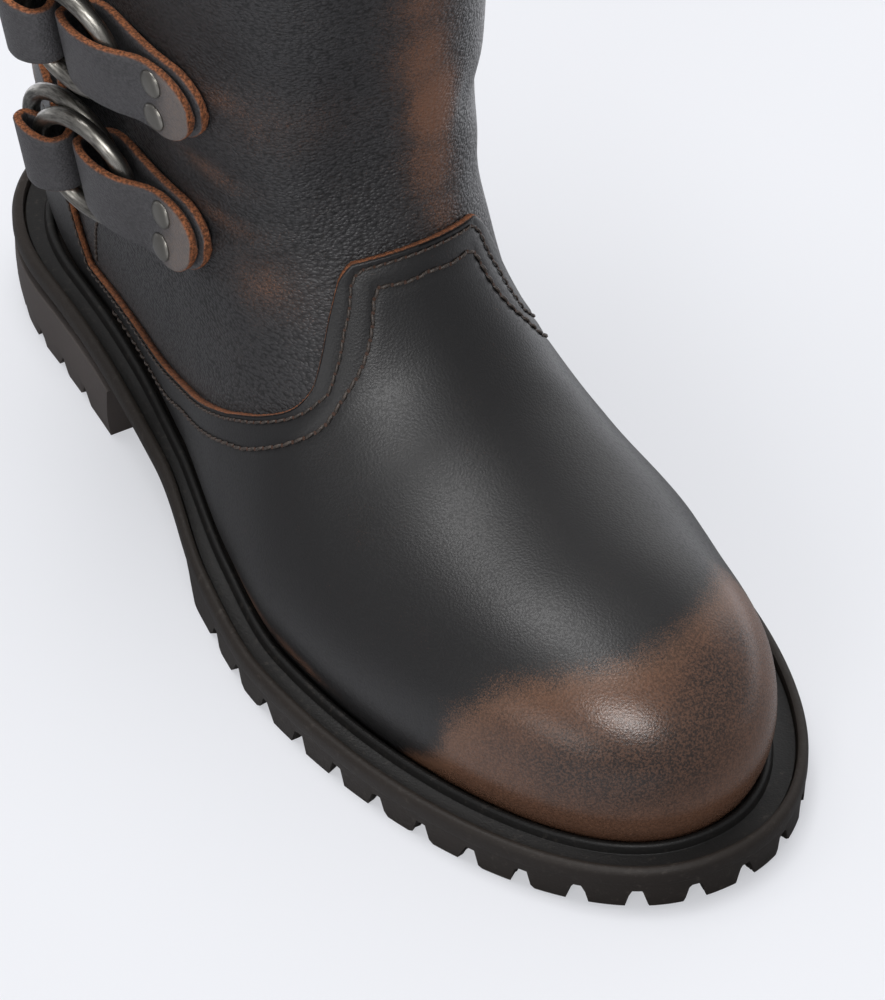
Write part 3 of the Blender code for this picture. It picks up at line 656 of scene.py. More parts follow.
def on_rows(size, values, start=0):
    """Mask of a grid that has values on some of its rows and is zero elsewhere"""
    painted = np.zeros(size)
    painted[start:start + len(values)] = values
    return painted


# Node trees
def shade(values, share=1.0):
    """Colour with full alpha, darker or lighter by a share"""
    return (*(c * share for c in values), 1.0)


class Brush:
    """Short calls for the shader nodes of one tree"""

    def __init__(self, tree):
        self.tree = tree

    def feed(self, socket, value):
        """Link a value to a socket, or set it there as a constant"""
        if isinstance(value, bpy.types.NodeSocket):
            self.tree.links.new(value, socket)
        else:
            socket.default_value = value

    def node(self, kind, values=None, **settings):
        """New node with its settings and the values of its sockets"""
        made = self.tree.nodes.new("ShaderNode" + kind)
        for key, value in settings.items():
            setattr(made, key, value)
        for key, value in (values or {}).items():
            self.feed(made.inputs[key], value)
        return made

    def maths(self, operation, a, b, clamp=False):
        """Value of one sum or product"""
        return self.node("Math", {0: a, 1: b}, operation=operation, use_clamp=clamp).outputs[0]

    def plus(self, a, b, clamp=False):
        """Sum of two values"""
        return self.maths("ADD", a, b, clamp)

    def minus(self, a, b):
        """Difference of two values"""
        return self.maths("SUBTRACT", a, b)

    def times(self, a, b):
        """Product of two values"""
        return self.maths("MULTIPLY", a, b)

    def vector(self, operation, a, b):
        """Sum or product of two vectors"""
        return self.node("VectorMath", {0: a, 1: b}, operation=operation).outputs[0]

    def rise(self, value, low, high, to_low=0.0, to_high=1.0):
        """Smooth step of a value between two bounds"""
        bounds = {"Value": value, "From Min": low, "From Max": high, "To Min": to_low, "To Max": to_high}
        return self.node("MapRange", bounds, interpolation_type="SMOOTHSTEP").outputs["Result"]

    def tint(self, factor, a, b):
        """Mix of two colours"""
        return self.node("Mix", {0: factor, 6: a, 7: b}, data_type="RGBA").outputs[2]

    def mask(self, name):
        """Value painted on the points of a piece"""
        return self.node("Attribute", attribute_name=name).outputs["Fac"]

    def place(self):
        """Place on the piece in metres"""
        return self.node("TexCoord").outputs["Object"]

    def noise(self, vector, scale, detail, roughness=.5, output="Fac"):
        """Cloudy change of a value from place to place"""
        given = {"Vector": vector, "Scale": scale, "Detail": detail, "Roughness": roughness}
        return self.node("TexNoise", given).outputs[output]

    def effect(self, name, **values):
        """Place a shared effect, with its own values"""
        return self.node("Group", values, node_tree=shared_group(name)).outputs

    def bump(self, shader, height, strength, depth):
        """Relief of a surface"""
        relief = self.node("Bump", {"Height": height, "Strength": strength, "Distance": depth})
        self.feed(shader["Normal"], relief.outputs["Normal"])


def grain_effect(brush, given):
    """Leather grain: small pebbles drawn out level, with fine pores between them"""
    cells = given["Cells"]
    scale = brush.node("CombineXYZ", {"X": 1.0, "Y": 1.0, "Z": given["Stretch"]}).outputs[0]
    drawn = brush.vector("MULTIPLY", brush.place(), scale)
    bend = brush.noise(drawn, brush.times(cells, .22), 3.0, output="Color")
    centred = brush.vector("SUBTRACT", bend, (.5, .5, .5))
    reach = brush.maths("DIVIDE", 1.6, cells)
    pushed = brush.node("VectorMath", {0: centred, "Scale": reach}, operation="SCALE").outputs[0]
    path = brush.vector("ADD", drawn, pushed)
    spots = brush.node("TexVoronoi", {"Vector": path, "Scale": cells}, feature="F1").outputs["Distance"]
    fine = brush.noise(path, brush.times(cells, 1.9), 2.0)
    wide = brush.noise(path, brush.times(cells, .34), 3.0, .55)
    height = brush.plus(brush.times(brush.rise(spots, .9, .1), .5), brush.times(fine, .35))
    folds = brush.times(wide, brush.times(given["Wrinkle"], 2.4))
    return {"Height": brush.plus(height, folds), "Pores": brush.rise(spots, .45, .8)}


def worn_effect(brush, given):
    """Ragged, speckled edge of a painted mask, as where finish is rubbed off"""
    place = brush.place()
    patch = brush.noise(place, 120.0, 5.0, .6)
    speck = brush.noise(place, 3200.0, 2.0)
    shifted = brush.times(brush.minus(patch, .5), given["Ragged"])
    dotted = brush.times(brush.minus(speck, .5), given["Speckle"])
    total = brush.plus(given["Mask"], brush.plus(shifted, dotted))
    return {"Mask": brush.rise(total, brush.minus(.5, given["Soft"]), brush.plus(.5, given["Soft"]))}


def mottle_effect(brush, given):
    """Slow cloudy change over a surface, and fine scuffs in it"""
    place = brush.place()
    cloud = brush.noise(place, given["Cells"], 4.0)
    centred = brush.times(brush.minus(cloud, .5), given["Contrast"])
    scuff = brush.noise(place, brush.times(given["Cells"], 14.0), 5.0, .7)
    return {"Cloud": brush.plus(centred, .5, True), "Scuff": brush.rise(scuff, .55, .75)}


def fibre_effect(brush, given):
    """Raw cut leather: rough fibres with light and dark flecks"""
    fleck = brush.noise(brush.place(), given["Cells"], 3.0, .7)
    return {"Fleck": brush.rise(fleck, .40, .62), "Height": fleck}


# Shared effects: maker, inputs with their defaults, outputs
EFFECTS = {
    "Leather grain": (grain_effect, {"Cells": 900.0, "Stretch": 1.6, "Wrinkle": .5}, ["Height", "Pores"]),
    "Worn edge": (worn_effect, {"Mask": 0.0, "Ragged": .5, "Speckle": .5, "Soft": .12}, ["Mask"]),
    "Mottle": (mottle_effect, {"Cells": 30.0, "Contrast": 1.0}, ["Cloud", "Scuff"]),
    "Raw fibre": (fibre_effect, {"Cells": 1400.0}, ["Fleck", "Height"]),
}


def shared_group(name):
    """Shader group of an effect with named sockets, built once"""
    group = bpy.data.node_groups.get(name)
    if group is None:
        maker, inputs, outputs = EFFECTS[name]
        group = bpy.data.node_groups.new(name, "ShaderNodeTree")
        sockets = group.interface
        for label, default in inputs.items():
            sockets.new_socket(label, in_out="INPUT", socket_type="NodeSocketFloat").default_value = default
        for label in outputs:
            sockets.new_socket(label, in_out="OUTPUT", socket_type="NodeSocketFloat")
        given = group.nodes.new("NodeGroupInput").outputs
        put = group.nodes.new("NodeGroupOutput").inputs
        for label, value in maker(Brush(group), given).items():
            group.links.new(value, put[label])
    return group


# Materials
def make_look(name, paint, *values, **settings):
    """Material with one Principled shader and constant socket values, painted once"""
    look = bpy.data.materials.get(name)
    if look is None:
        look = bpy.data.materials.new(name)
        look.use_nodes = True
        shader = look.node_tree.nodes["Principled BSDF"].inputs
        for key, value in settings.items():
            shader[key.replace("_", " ")].default_value = value
        paint(Brush(look.node_tree), shader, *values)
    return look


def finish_leather(brush, shader, colours, face, rough, tan_shares, dull):
    """Give a leather its face, and raw tan fibres on its cut edges; returns their relief and mask"""
    raw = brush.mask("raw")
    fibre = brush.effect("Raw fibre", Cells=EDGE_FIBRE)
    tan_edge = brush.tint(fibre["Fleck"], *(shade(colours.raw_edge, share) for share in tan_shares))
    brush.feed(shader["Base Color"], brush.tint(raw, face, tan_edge))
    brush.feed(shader["Roughness"], brush.plus(rough, brush.times(raw, dull)))
    return fibre["Height"], raw


def paint_shaft(brush, shader, colours):
    """Black pebbled leather with brown rubs"""
    black, brown = colours.shaft_leather, shade(colours.rub_brown)
    grain = brush.effect("Leather grain", Cells=880.0, Stretch=1.8, Wrinkle=.20)
    cloud = brush.effect("Mottle", Cells=26.0, Contrast=1.6)["Cloud"]
    dark = brush.tint(cloud, shade(black), shade(black, 1.9))
    pored = brush.tint(brush.times(grain["Pores"], .75), dark, PORE_BLACK)
    fleck = brush.effect("Raw fibre", Cells=1150.0)["Fleck"]
    flecked = brush.tint(brush.times(fleck, .28), pored, shade(black, 2.6))
    rub = brush.mask("rub")
    warm = brush.tint(brush.times(brush.maths("POWER", rub, 1.5), .34), flecked, brown)
    bare = brush.effect("Worn edge", Mask=rub, Ragged=.45, Speckle=1.5, Soft=.3)["Mask"]
    worn = brush.tint(brush.times(bare, .80), warm, brown)
    rough = brush.plus(brush.times(grain["Pores"], .12), .41)
    finish_leather(brush, shader, colours, worn, rough, (.45, 1.0), .35)
    brush.bump(shader, grain["Height"], .7, .0006)


def paint_panel(brush, shader, colours):
    """Waxed black leather with a burnished toe and raw cut edges"""
    black, toe_brown = colours.panel_leather, colours.burnish
    burnish, smoke = brush.mask("burnish"), brush.mask("smoke")
    grain = brush.effect("Leather grain", Cells=1600.0, Stretch=1.15, Wrinkle=.06)
    cloud = brush.effect("Mottle", Cells=22.0, Contrast=1.5)["Cloud"]
    dark = brush.tint(cloud, shade(black), shade(black, 1.5))
    deep = brush.tint(cloud, shade(toe_brown, .45), shade(toe_brown, .80))
    brown = brush.tint(brush.rise(burnish, 1.6, .55), deep, shade(colours.burnish_edge))
    ragged = brush.effect("Worn edge", Mask=smoke, Ragged=.6, Speckle=.9, Soft=.3)["Mask"]
    smoked = brush.tint(brush.times(brush.plus(ragged, smoke), .48), brown, dark)
    fleck = brush.effect("Raw fibre", Cells=1800.0)["Fleck"]
    flecked = brush.tint(brush.times(fleck, .34), smoked, shade(toe_brown, 1.5))
    speck = brush.effect("Worn edge", Mask=burnish, Ragged=.7, Speckle=1.5, Soft=.36)["Mask"]
    toe = brush.tint(speck, dark, flecked)
    bare = brush.effect("Worn edge", Mask=brush.mask("rub"), Ragged=.6, Speckle=1.2, Soft=.3)["Mask"]
    worn = brush.tint(brush.times(bare, .7), toe, shade(colours.rub_brown))
    # Painted shade in the grooves that the thread lines press into the panel
    groove_shaded = brush.tint(brush.times(brush.mask("sewn"), .75), worn, GROOVE_SHADE_BLACK)
    rough = brush.plus(brush.times(grain["Pores"], .08), brush.rise(burnish, .2, 1.2, .40, .27))
    fibre = finish_leather(brush, shader, colours, groove_shaded, rough, (.4, 1.0), .4)
    brush.bump(shader, brush.plus(grain["Height"], brush.times(*fibre)), .15, .0003)


def paint_strap(brush, shader, colours):
    """Grey-black strap leather with raw tan edges and a worn tail"""
    grey = colours.strap_leather
    grain = brush.effect("Leather grain", Cells=1700.0, Stretch=1.1, Wrinkle=.2)
    cloud = brush.effect("Mottle", Cells=60.0, Contrast=1.6)["Cloud"]
    dark = brush.tint(cloud, shade(grey, .8), shade(grey, 1.2))
    worn = brush.effect("Worn edge", Mask=brush.mask("worn"), Ragged=.7, Speckle=.5, Soft=.34)["Mask"]
    pale = brush.tint(brush.times(worn, .8), dark, shade(colours.strap_worn))
    fleck = brush.effect("Raw fibre", Cells=1300.0)["Fleck"]
    flecked = brush.tint(brush.times(fleck, .50), pale, shade(grey, 1.9))
    rough = brush.plus(brush.times(grain["Pores"], .08), .44)
    fibre = finish_leather(brush, shader, colours, flecked, rough, (.34, 1.25), .4)
    brush.bump(shader, brush.plus(grain["Height"], brush.times(*fibre)), .5, .0004)


def paint_rubber(brush, shader, base, rough):
    """Moulded rubber, dusty and lightly scuffed"""
    mottle = brush.effect("Mottle", Cells=34.0, Contrast=1.4)
    dusty = brush.tint(mottle["Cloud"], shade(base, .8), shade(base, 1.25))
    brush.feed(shader["Base Color"], brush.tint(brush.times(mottle["Scuff"], .35), dusty, DUST))
    brush.feed(shader["Roughness"], brush.plus(brush.times(mottle["Cloud"], .14), rough))
    grain = brush.effect("Leather grain", Cells=1700.0, Stretch=1.0, Wrinkle=.3)
    brush.bump(shader, grain["Height"], .18, .0003)


def paint_metal(brush, shader, base, share, dark_share):
    """Aged pewter, darkened in streaks that run along the wire"""
    wrap = brush.node("CombineXYZ", {"X": brush.mask("wrap_x"), "Y": brush.mask("wrap_y"), "Z": brush.mask("run")})
    streak = brush.noise(wrap.outputs[0], 3.2, 5.0, .62)
    mottle = brush.effect("Mottle", Cells=70.0, Contrast=1.3)
    worn = brush.plus(brush.times(streak, .65), brush.times(mottle["Cloud"], .35))
    aged = brush.tint(brush.rise(worn, .34, .62), shade(base, dark_share), shade(base, share))
    brush.feed(shader["Base Color"], aged)
    brush.feed(shader["Roughness"], brush.rise(worn, .3, .7, .42, .26))
    brush.bump(shader, brush.plus(streak, brush.times(mottle["Scuff"], .3)), .16, .0002)


def paint_thread(brush, shader, base):
    """Waxed twisted thread"""
    fibre = brush.effect("Raw fibre", Cells=1800.0)
    brush.feed(shader["Base Color"], brush.tint(fibre["Fleck"], shade(base, .5), shade(base, 1.5)))
    brush.bump(shader, fibre["Height"], .4, .0003)


def paint_hide(brush, shader, base, rough):
    """Plain leather of the inside: lining and insole; also the needle-hole discs, raw leather darkened as painted
    shade of the holes
    """
    grain = brush.effect("Leather grain", Cells=900.0, Stretch=1.0, Wrinkle=.4)
    cloud = brush.effect("Mottle", Cells=40.0, Contrast=1.5)["Cloud"]
    brush.feed(shader["Base Color"], brush.tint(cloud, shade(base, .75), shade(base, 1.2)))
    brush.feed(shader["Roughness"], brush.plus(brush.times(grain["Pores"], .1), rough))
    brush.bump(shader, grain["Height"], .3, .0004)


def paint_floor(brush, shader, base):
    """Pale floor, even for the camera; in the boot's reflections and bounce it carries painted light, brighter
    beside and behind the boot and glowing behind it
    """
    cloud = brush.effect("Mottle", Cells=3.0, Contrast=.4)["Cloud"]
    seen = brush.tint(cloud, shade(base, .995 * FLOOR_MATT), shade(base, FLOOR_MATT))
    camera_ray = brush.node("LightPath").outputs["Is Camera Ray"]
    place = brush.node("SeparateXYZ", {"Vector": brush.place()}).outputs
    # Painted light: a brighter pool behind and beside the boot and a glow behind it, seen only in reflections and
    # bounce
    behind = brush.rise(brush.plus(place["X"], place["Y"]), *BEHIND_REACH)
    beside = brush.times(brush.rise(place["Y"], *FRONT_REACH), brush.rise(place["X"], *LEFT_REACH))
    lit = brush.maths("MAXIMUM", behind, beside)
    mirrored = brush.tint(lit, *(shade(base, share) for share in FLOOR_BOUNCE))
    brush.feed(shader["Base Color"], brush.tint(camera_ray, mirrored, seen))
    glow = brush.tint(behind, (0, 0, 0, 1), shade(base, BEHIND_GLOW))
    brush.feed(shader["Emission Color"], brush.tint(camera_ray, glow, shade(base, FLOOR_GLOW)))


# Values a user would change
def size_property(label, text, default):
    """Length that a user may change"""
    return FloatProperty(name=label, description=text, default=default, min=0.0, unit="LENGTH", precision=4)


def colour_property(label, text, default):
    """Colour that a user may change"""
    return FloatVectorProperty(name=label, description=text, default=default, size=3, min=0.0, max=1.0,
                               subtype="COLOR")


class BootSizes(bpy.types.PropertyGroup):
    """Sizes of the dressing"""
    stitch_pitch: size_property("Stitch pitch", "Length from one needle hole to the next", .0031)
    thread_radius: size_property("Thread radius", "Half the thickness of the sewing thread", .00042)
    lug_depth: size_property("Lug depth", "Height of the notches round the forefoot", .0044)
    raw_round: size_property("Edge rounding", "Rounding of the cut leather edges", .0004)
    crease: FloatProperty(name="Creases", description="Share of the creases' full depth", default=1.0, min=0.0,
                          max=2.0, subtype="FACTOR")


class BootColours(bpy.types.PropertyGroup):
    """Colours of the materials"""
    shaft_leather: colour_property("Shaft leather", "Black leather of the shaft", (.0215, .0207, .0214))
    panel_leather: colour_property("Panel leather", "Black leather of vamp and counter", (.0088, .0083, .0084))
    burnish: colour_property("Burnish", "Brown of the burnished toe", (.170, .084, .050))
    burnish_edge: colour_property("Burnish edge", "Orange brown where the burnish begins", (.108, .054, .030))
    rub_brown: colour_property("Rub", "Brown where the finish is rubbed off", (.215, .100, .056))
    raw_edge: colour_property("Raw edge", "Rust of the cut leather edges", (.30, .105, .040))
    strap_leather: colour_property("Strap leather", "Grey-black leather of the straps", (.058, .056, .058))
    strap_worn: colour_property("Strap wear", "Worn leather round the rivets", (.205, .165, .142))
    thread: colour_property("Thread", "Dark sewing thread", (.044, .031, .023))
    lining: colour_property("Lining", "Leather lining of the shaft", (.24, .16, .10))
    insole: colour_property("Insole", "Insole board", SLOTS["insole_leather"])
    welt: colour_property("Welt", "Rubber band round the upper", (.0120, .0112, .0105))
    sole: colour_property("Sole", "Moulded rubber of the sole", (.0200, .0155, .0126))
    heel: colour_property("Heel", "Moulded rubber of the heel", (.082, .070, .065))
    metal: colour_property("Metal", "Aged metal of rings and rivets", SLOTS["ring_metal"])
    floor: colour_property("Floor", "Pale studio floor", (.83, .84, .875))


class BootLook(bpy.types.PropertyGroup):
    """All values of the boot"""
    sizes: PointerProperty(type=BootSizes)
    colours: PointerProperty(type=BootColours)


# Pieces
class BootUpper(bpy.types.Operator):
    """Make the creased upper with its collar edge and lining"""
    bl_idname = "boot.upper"
    bl_label = "Upper"

    def execute(self, context):
        values = context.scene.boot_look
        column = spread(UPPER_COLUMNS)
        top = seam(column)
        hidden = (np.arange(HIDDEN_ROWS) / HIDDEN_ROWS)[:, None] * top
        shown = top + (1 - top) * (np.arange(SHAFT_ROWS + 1) / SHAFT_ROWS)[:, None]
        rows = np.concatenate([hidden, shown])
        base, out = skin_grid(column, rows)
        base = base - out * crease_depth(base, values.sizes.crease)[..., None]
        edge = [base[-1] - out[-1] * inward + np.array([0, 0, up]) for inward, up in COLLAR_EDGE]
        take = np.linspace(len(rows) - 1, 0, LINING_ROWS).round().astype(int)
        points = np.concatenate([base, np.stack(edge), base[take] - out[take] * WALL])
        faces = strip_faces(len(points), len(column), True)
        look_index = np.zeros(len(faces), int)
        look_index[(len(rows) + len(edge) - 1) * len(column):] = 1
        size = points.shape[:2]
        collar = np.clip((base[..., 2] - base[-1, :, 2] + COLLAR_WEAR) / COLLAR_WEAR, 0, 1)
        rub = np.maximum(rubbed(base, SHAFT_RUBS), COLLAR_RUB * collar ** 2)
        masks = {"raw": on_rows(size, np.ones((len(edge), 1)), len(rows)), "rub": on_rows(size, rub)}
        looks = [make_look("Shaft leather", paint_shaft, values.colours, Specular_IOR_Level=.30),
                 make_look("Lining leather", paint_hide, values.colours.lining, .55)]
        make_piece("shaft_leather_upper", points, faces, looks, "upper", masks, look_index)
        return {"FINISHED"}


def creased_skin(column, row, lift, strength):
    """Points at a lift above the creased skin and the directions out of it"""
    column = np.asarray(column, float)
    row = np.asarray(row, float)
    step = .004
    across = skin((column + step) % 6, row) - skin((column - step) % 6, row)
    up = skin(column, np.minimum(row + step, 1)) - skin(column, np.maximum(row - step, 0))
    out = unit(np.cross(across, up))
    base = skin(column, row)
    return base + out * (lift - crease_depth(base, strength))[..., None], out


def both_sides(row_table):
    """Columns and rows of a line on both halves, from the outer side over the front to the inner side"""
    column = np.linspace(row_table[0][0], 3, ROW_POINTS)
    row = curve(row_table, column)
    return np.concatenate([column, 6 - column[-2::-1]]), np.concatenate([row, row[-2::-1]])


def edge_row():
    """Line just inside the top edge of the panel"""
    column = np.linspace(.02, 5.98, EDGE_POINTS)
    row = seam(column)
    line = skin(column, row)
    along = unit(np.gradient(line, axis=0))
    step = .002
    down = skin(column, row - step) - line
    sideways = down - along * (down * along).sum(-1, keepdims=True)
    drop = step * EDGE_ROW_INSET / np.maximum(np.linalg.norm(sideways, axis=-1), .2)
    shift = (down * along).sum(-1) * drop / step
    run = np.gradient(column) / np.maximum(np.linalg.norm(np.gradient(line, axis=0), axis=-1), .02)
    moved = np.clip(column - shift * run, .02, 5.98)
    return moved, row - drop


def sewn_lines(strength):
    """Thread lines on the panel as points and outward directions"""
    lift = GAP + PANEL
    return [creased_skin(*edge_row(), lift, strength), creased_skin(*both_sides(SECOND_ROW), lift, strength)]


def line_tree(strength):
    """Search tree over the thread lines of the panel"""
    points = np.concatenate([line for line, out in sewn_lines(strength)])
    tree = kdtree.KDTree(len(points))
    for index, point in enumerate(points):
        tree.insert(point, index)
    tree.balance()
    return tree


class BootPanel(bpy.types.Operator):
    """Make the vamp and counter panel with its raw edge and burnished toe"""
    bl_idname = "boot.panel"
    bl_label = "Vamp and counter panel"

    def execute(self, context):
        values = context.scene.boot_look
        column = spread(PANEL_COLUMNS)
        share = 1 - (1 - np.arange(PANEL_ROWS + 1) / PANEL_ROWS) ** PANEL_EASE
        rows = share[:, None] * seam(column)
        base, out = skin_grid(column, rows)
        deep = crease_depth(base, values.sizes.crease)
        lift = GAP + PANEL
        face = base + out * (lift - deep)[..., None]
        tree = line_tree(values.sizes.crease)
        near = np.array([tree.find(point)[2] for point in face.reshape(-1, 3)]).reshape(rows.shape)
        sewn = np.exp(-(near / SEWN_WIDTH) ** 2)
        face = face - out * (SEWN_DEPTH * sewn)[..., None]
        up = unit(base[-1] - base[-2])
        corner = values.sizes.raw_round / MM
        face[-1] = face[-1] - up * corner
        fibre = np.sin(np.arange(len(column)) * FIBRE_TURN) * FIBRE_REACH
        edge = [base[-1] + out[-1] * (height - deep[-1] + fibre * along)[:, None] + up * (fibre - back)[:, None]
                for height, back, along in ((lift - corner * .25, corner * .3, 0), (lift - corner, 0, 0),
                                            (lift * .6, -.05, 1), (GAP * .3, 0, 0))]
        back = np.arange(PANEL_ROWS - 2, -1, -2)
        under_face = base[back] + out[back] * (GAP - deep[back])[..., None]
        points = np.concatenate([face, np.stack(edge), under_face])
        size = points.shape[:2]
        inside = (column > BURNISH[0][0]) & (column < BURNISH[-1][0])
        burnish = on_rows(size, .5 + (curve(BURNISH, column) - rows) * ROW_LENGTH / BURNISH_FADE)
        smoke = [(c, v, reach, reach, strength) for c, v, reach, strength in SMOKE]
        masks = {"raw": on_rows(size, np.ones((len(edge), 1)), len(rows)),
                 "burnish": np.clip(burnish, -1, 3) * inside - (~inside), "sewn": on_rows(size, sewn),
                 "smoke": on_rows(size, rubbed(base, smoke)), "rub": on_rows(size, rubbed(base, PANEL_RUBS))}
        look = make_look("Panel leather", paint_panel, values.colours, Specular_IOR_Level=.36)
        make_piece("panel_leather_vamp_counter", points, strip_faces(len(points), len(column), True), [look],
                   "vamp_counter_panel", masks)
        return {"FINISHED"}


def even_steps(line, out, pitch):
    """Points and outward directions at even steps along a line"""
    run = run_along(line)
    at = np.linspace(0, run[-1], max(int(round(run[-1] / pitch)), 1) + 1)
    spots, lifts = (np.stack([np.interp(at, run, rows[:, k]) for k in range(3)], -1) for rows in (line, out))
    return spots, unit(lifts)


def stitch_row(line, out, pitch, radius, points, faces, index):
    """Add the stitches and needle holes of one row"""
    spots, lifts = even_steps(line, out, pitch)
    angle = circle(STITCH_SIDES)
    rings = len(STITCH_RINGS)
    for k in range(len(spots) - 1):
        middle = (spots[k] + spots[k + 1]) / 2
        way = spots[k + 1] - spots[k]
        half = np.linalg.norm(way) * STITCH_SHARE
        way = way / np.linalg.norm(way)
        up = unit(lifts[k] + lifts[k + 1])
        side = unit(np.cross(up, way))
        way = unit(way + side * STITCH_SLANT)
        start = len(points)
        for along, wide, height in STITCH_RINGS:
            ring = middle + way * half * along + up * radius * height
            points.extend(ring + radius * wide * (np.cos(a) * side + np.sin(a) * up * THREAD_FLAT) for a in angle)
        faces.extend(strip_faces(rings, STITCH_SIDES, False, start))
        faces.append(list(range(start, start + STITCH_SIDES))[::-1])
        faces.append(list(range(start + (rings - 1) * STITCH_SIDES, start + rings * STITCH_SIDES)))
        index.extend([0] * ((rings - 1) * STITCH_SIDES + 2))
        # Needle hole: a dark disc on the leather, painted shade where the thread goes in
        start = len(points)
        hole = spots[k] + lifts[k] * HOLE_LIFT
        points.append(hole + lifts[k] * HOLE_CROWN)
        points.extend(hole + radius * HOLE_SIZE * (np.cos(a) * side + np.sin(a) * way) for a in angle)
        for j in range(STITCH_SIDES):
            faces.append([start, start + 1 + j, start + 1 + (j + 1) % STITCH_SIDES])
        index.extend([1] * STITCH_SIDES)


class BootStitches(bpy.types.Operator):
    """Sew the stitch rows of panel, side seams and collar"""
    bl_idname = "boot.stitches"
    bl_label = "Stitches"

    def execute(self, context):
        sizes, colours = context.scene.boot_look.sizes, context.scene.boot_look.colours
        # The needle holes' look is raw leather darkened to painted shade
        looks = [make_look("Thread", paint_thread, colours.thread, Roughness=.55),
                 make_look("Needle holes", paint_hide, [c * HOLE_SHADE for c in colours.raw_edge], .8)]
        pitch = sizes.stitch_pitch / MM
        radius = sizes.thread_radius / MM
        edge_line, second_line = sewn_lines(sizes.crease)
        column = np.linspace(HEEL_SEAM_ROW[0][0], HEEL_SEAM_ROW[-1][0], SEAM_POINTS)
        row = curve(HEEL_SEAM_ROW, column)
        collar = np.linspace(.01, 5.99, COLLAR_POINTS)
        shaft_lines = [creased_skin(at, level, STITCH_LIFT, sizes.crease)
                       for at, level in ((column, row), (6 - column, row), (collar, collar * 0 + COLLAR_ROW))]
        groups = {
            "panel": [(edge_line, pitch * EDGE_PITCH, radius * EDGE_THREAD), (second_line, pitch, radius)],
            "shaft": [(line, pitch, radius) for line in shaft_lines],
        }
        for name, rows in groups.items():
            points, faces, index = [], [], []
            for (line, out), step, thick in rows:
                stitch_row(line, out, step, thick, points, faces, index)
            make_piece(name + "_stitches", points, faces, looks, look_index=index)
        return {"FINISHED"}


# Sole
def fixed(value):
    """The same value all along the foot"""
    return lambda s: s * 0 + value


def above(drop):
    """Height measured from the top of the sole edge"""
    return lambda s: rim(s) + drop


def lip(amount):
    """Inset of the lip measured out from the upper"""
    return lambda s: curve(MARGIN, s) - amount


def outline_loop(inset, height, stop=None, tuck=0.0):
    """Loop of the sole outline: outer side from the heel forward, then the inner side back"""
    if stop is None:
        share = (1 - np.cos(np.linspace(0, pi, SOLE_STATIONS))) / 2
        base = HEEL_END + (TOE_END - HEEL_END) * share
        s = base + inset(base) * (1 - 2 * share)
    else:
        share = 1 - np.cos(np.linspace(0, pi / 2, HEEL_STATIONS))
        base = HEEL_END + (stop - HEEL_END) * share
        s = base + inset(base) * (1 - share)
    outer, inner = plan(s, inset(base))
    inner = inner - curve(TUCK, s) * tuck
    lateral = np.stack([outer, -s, height(s)], -1)
    medial = np.stack([inner, -s, height(s)], -1)
    return np.concatenate([lateral, medial[::-1]])


def under(s):
    """Lower face of the sole: lugged forefoot on the floor, thin shank, heel seat"""
    fore = spring(s)
    shank = rim(s) - SHANK_THICK - (HEEL_SEAT - SHANK_THICK) * ease((BREAST + SEAT_STEP / 2 - s) / SEAT_STEP)
    return fore + (shank - fore) * np.clip((LUG_START - LUG_STEP - s) / LUG_STEP, 0, 1)


def recess(s):
    """Groove under the sole edge along heel and shank"""
    return RECESS * (1 - step_in(s, RECESS_END))


def edge_notches(s_from, s_to, spacing, half, reach, deep):
    """Notches at even steps along both edges of the sole: start, direction inward, half width, length, depth"""
    found = []
    for side, turn in ((0, 1), (1, -1)):
        s = s_from + (s_to - s_from) * np.sin(np.linspace(0, pi / 2, 800))
        line = np.stack([plan(s, 0.0)[side], -s], -1)
        run = run_along(line)
        for k in range(int(run[-1] / spacing) + 1):
            i = min(int(np.searchsorted(run, k * spacing)), len(s) - 2)
            way = line[i + 1] - line[i]
            inward = np.array([-way[1], way[0]]) * turn
            found.append((line[i], inward / np.hypot(*inward), half, reach, deep))
    return found


def notch_depth(points, notches):
    """Depth of the notches at points of the lower face: start, direction, half width, length, depth"""
    total = np.zeros(points.shape[:-1])
    for start, forward, half, length, deep in notches:
        away = points[..., :2] - start
        along = away @ forward
        across = np.abs(away @ np.array([-forward[1], forward[0]]))
        wall = np.clip((half + NOTCH_PAST - across) / NOTCH_SIDE, 0, 1)
        end = np.clip((length - along) / NOTCH_END, 0, 1) * (along > -.5)
        total = np.maximum(total, deep * wall * end)
    return total


def sole_body(name, loops, under_loop, notches, across, look, cad_node):
    """Closed rubber body from outline loops with a notched lower face"""
    count = len(under_loop)
    half = count // 2
    lateral = under_loop[:half]
    medial = under_loop[:half - 1:-1]
    share = np.linspace(0, 1, across)[None, :, None]
    lower = lateral[:, None] + (medial - lateral)[:, None] * share
    lower[..., 2] += notch_depth(lower, notches)
    loops = loops + [np.concatenate([lower[:, 0], lower[::-1, -1]])]
    points = np.concatenate(loops + [lower[:, 1:-1].reshape(-1, 3)])
    faces = strip_faces(len(loops), count)
    rim_start = (len(loops) - 1) * count
    grid = np.empty((half, across), int)
    grid[:, 0] = rim_start + np.arange(half)
    grid[:, -1] = rim_start + count - 1 - np.arange(half)
    grid[:, 1:-1] = rim_start + count + np.arange(half * (across - 2)).reshape(half, across - 2)
    quads = np.stack([grid[:-1, :-1], grid[1:, :-1], grid[1:, 1:], grid[:-1, 1:]], -1).reshape(-1, 4)
    faces += quads.tolist()
    top = np.arange(half - 1)
    faces += np.stack([top, count - 1 - top, count - 2 - top, top + 1], -1).tolist()
    make_piece(name, points, faces, [look], cad_node, sharp=SOLE_SHARP)


def rubber_look(name, base, rough):
    """Rubber of the sole in one of its colours"""
    return make_look(name, paint_rubber, base, rough, Specular_IOR_Level=.22)


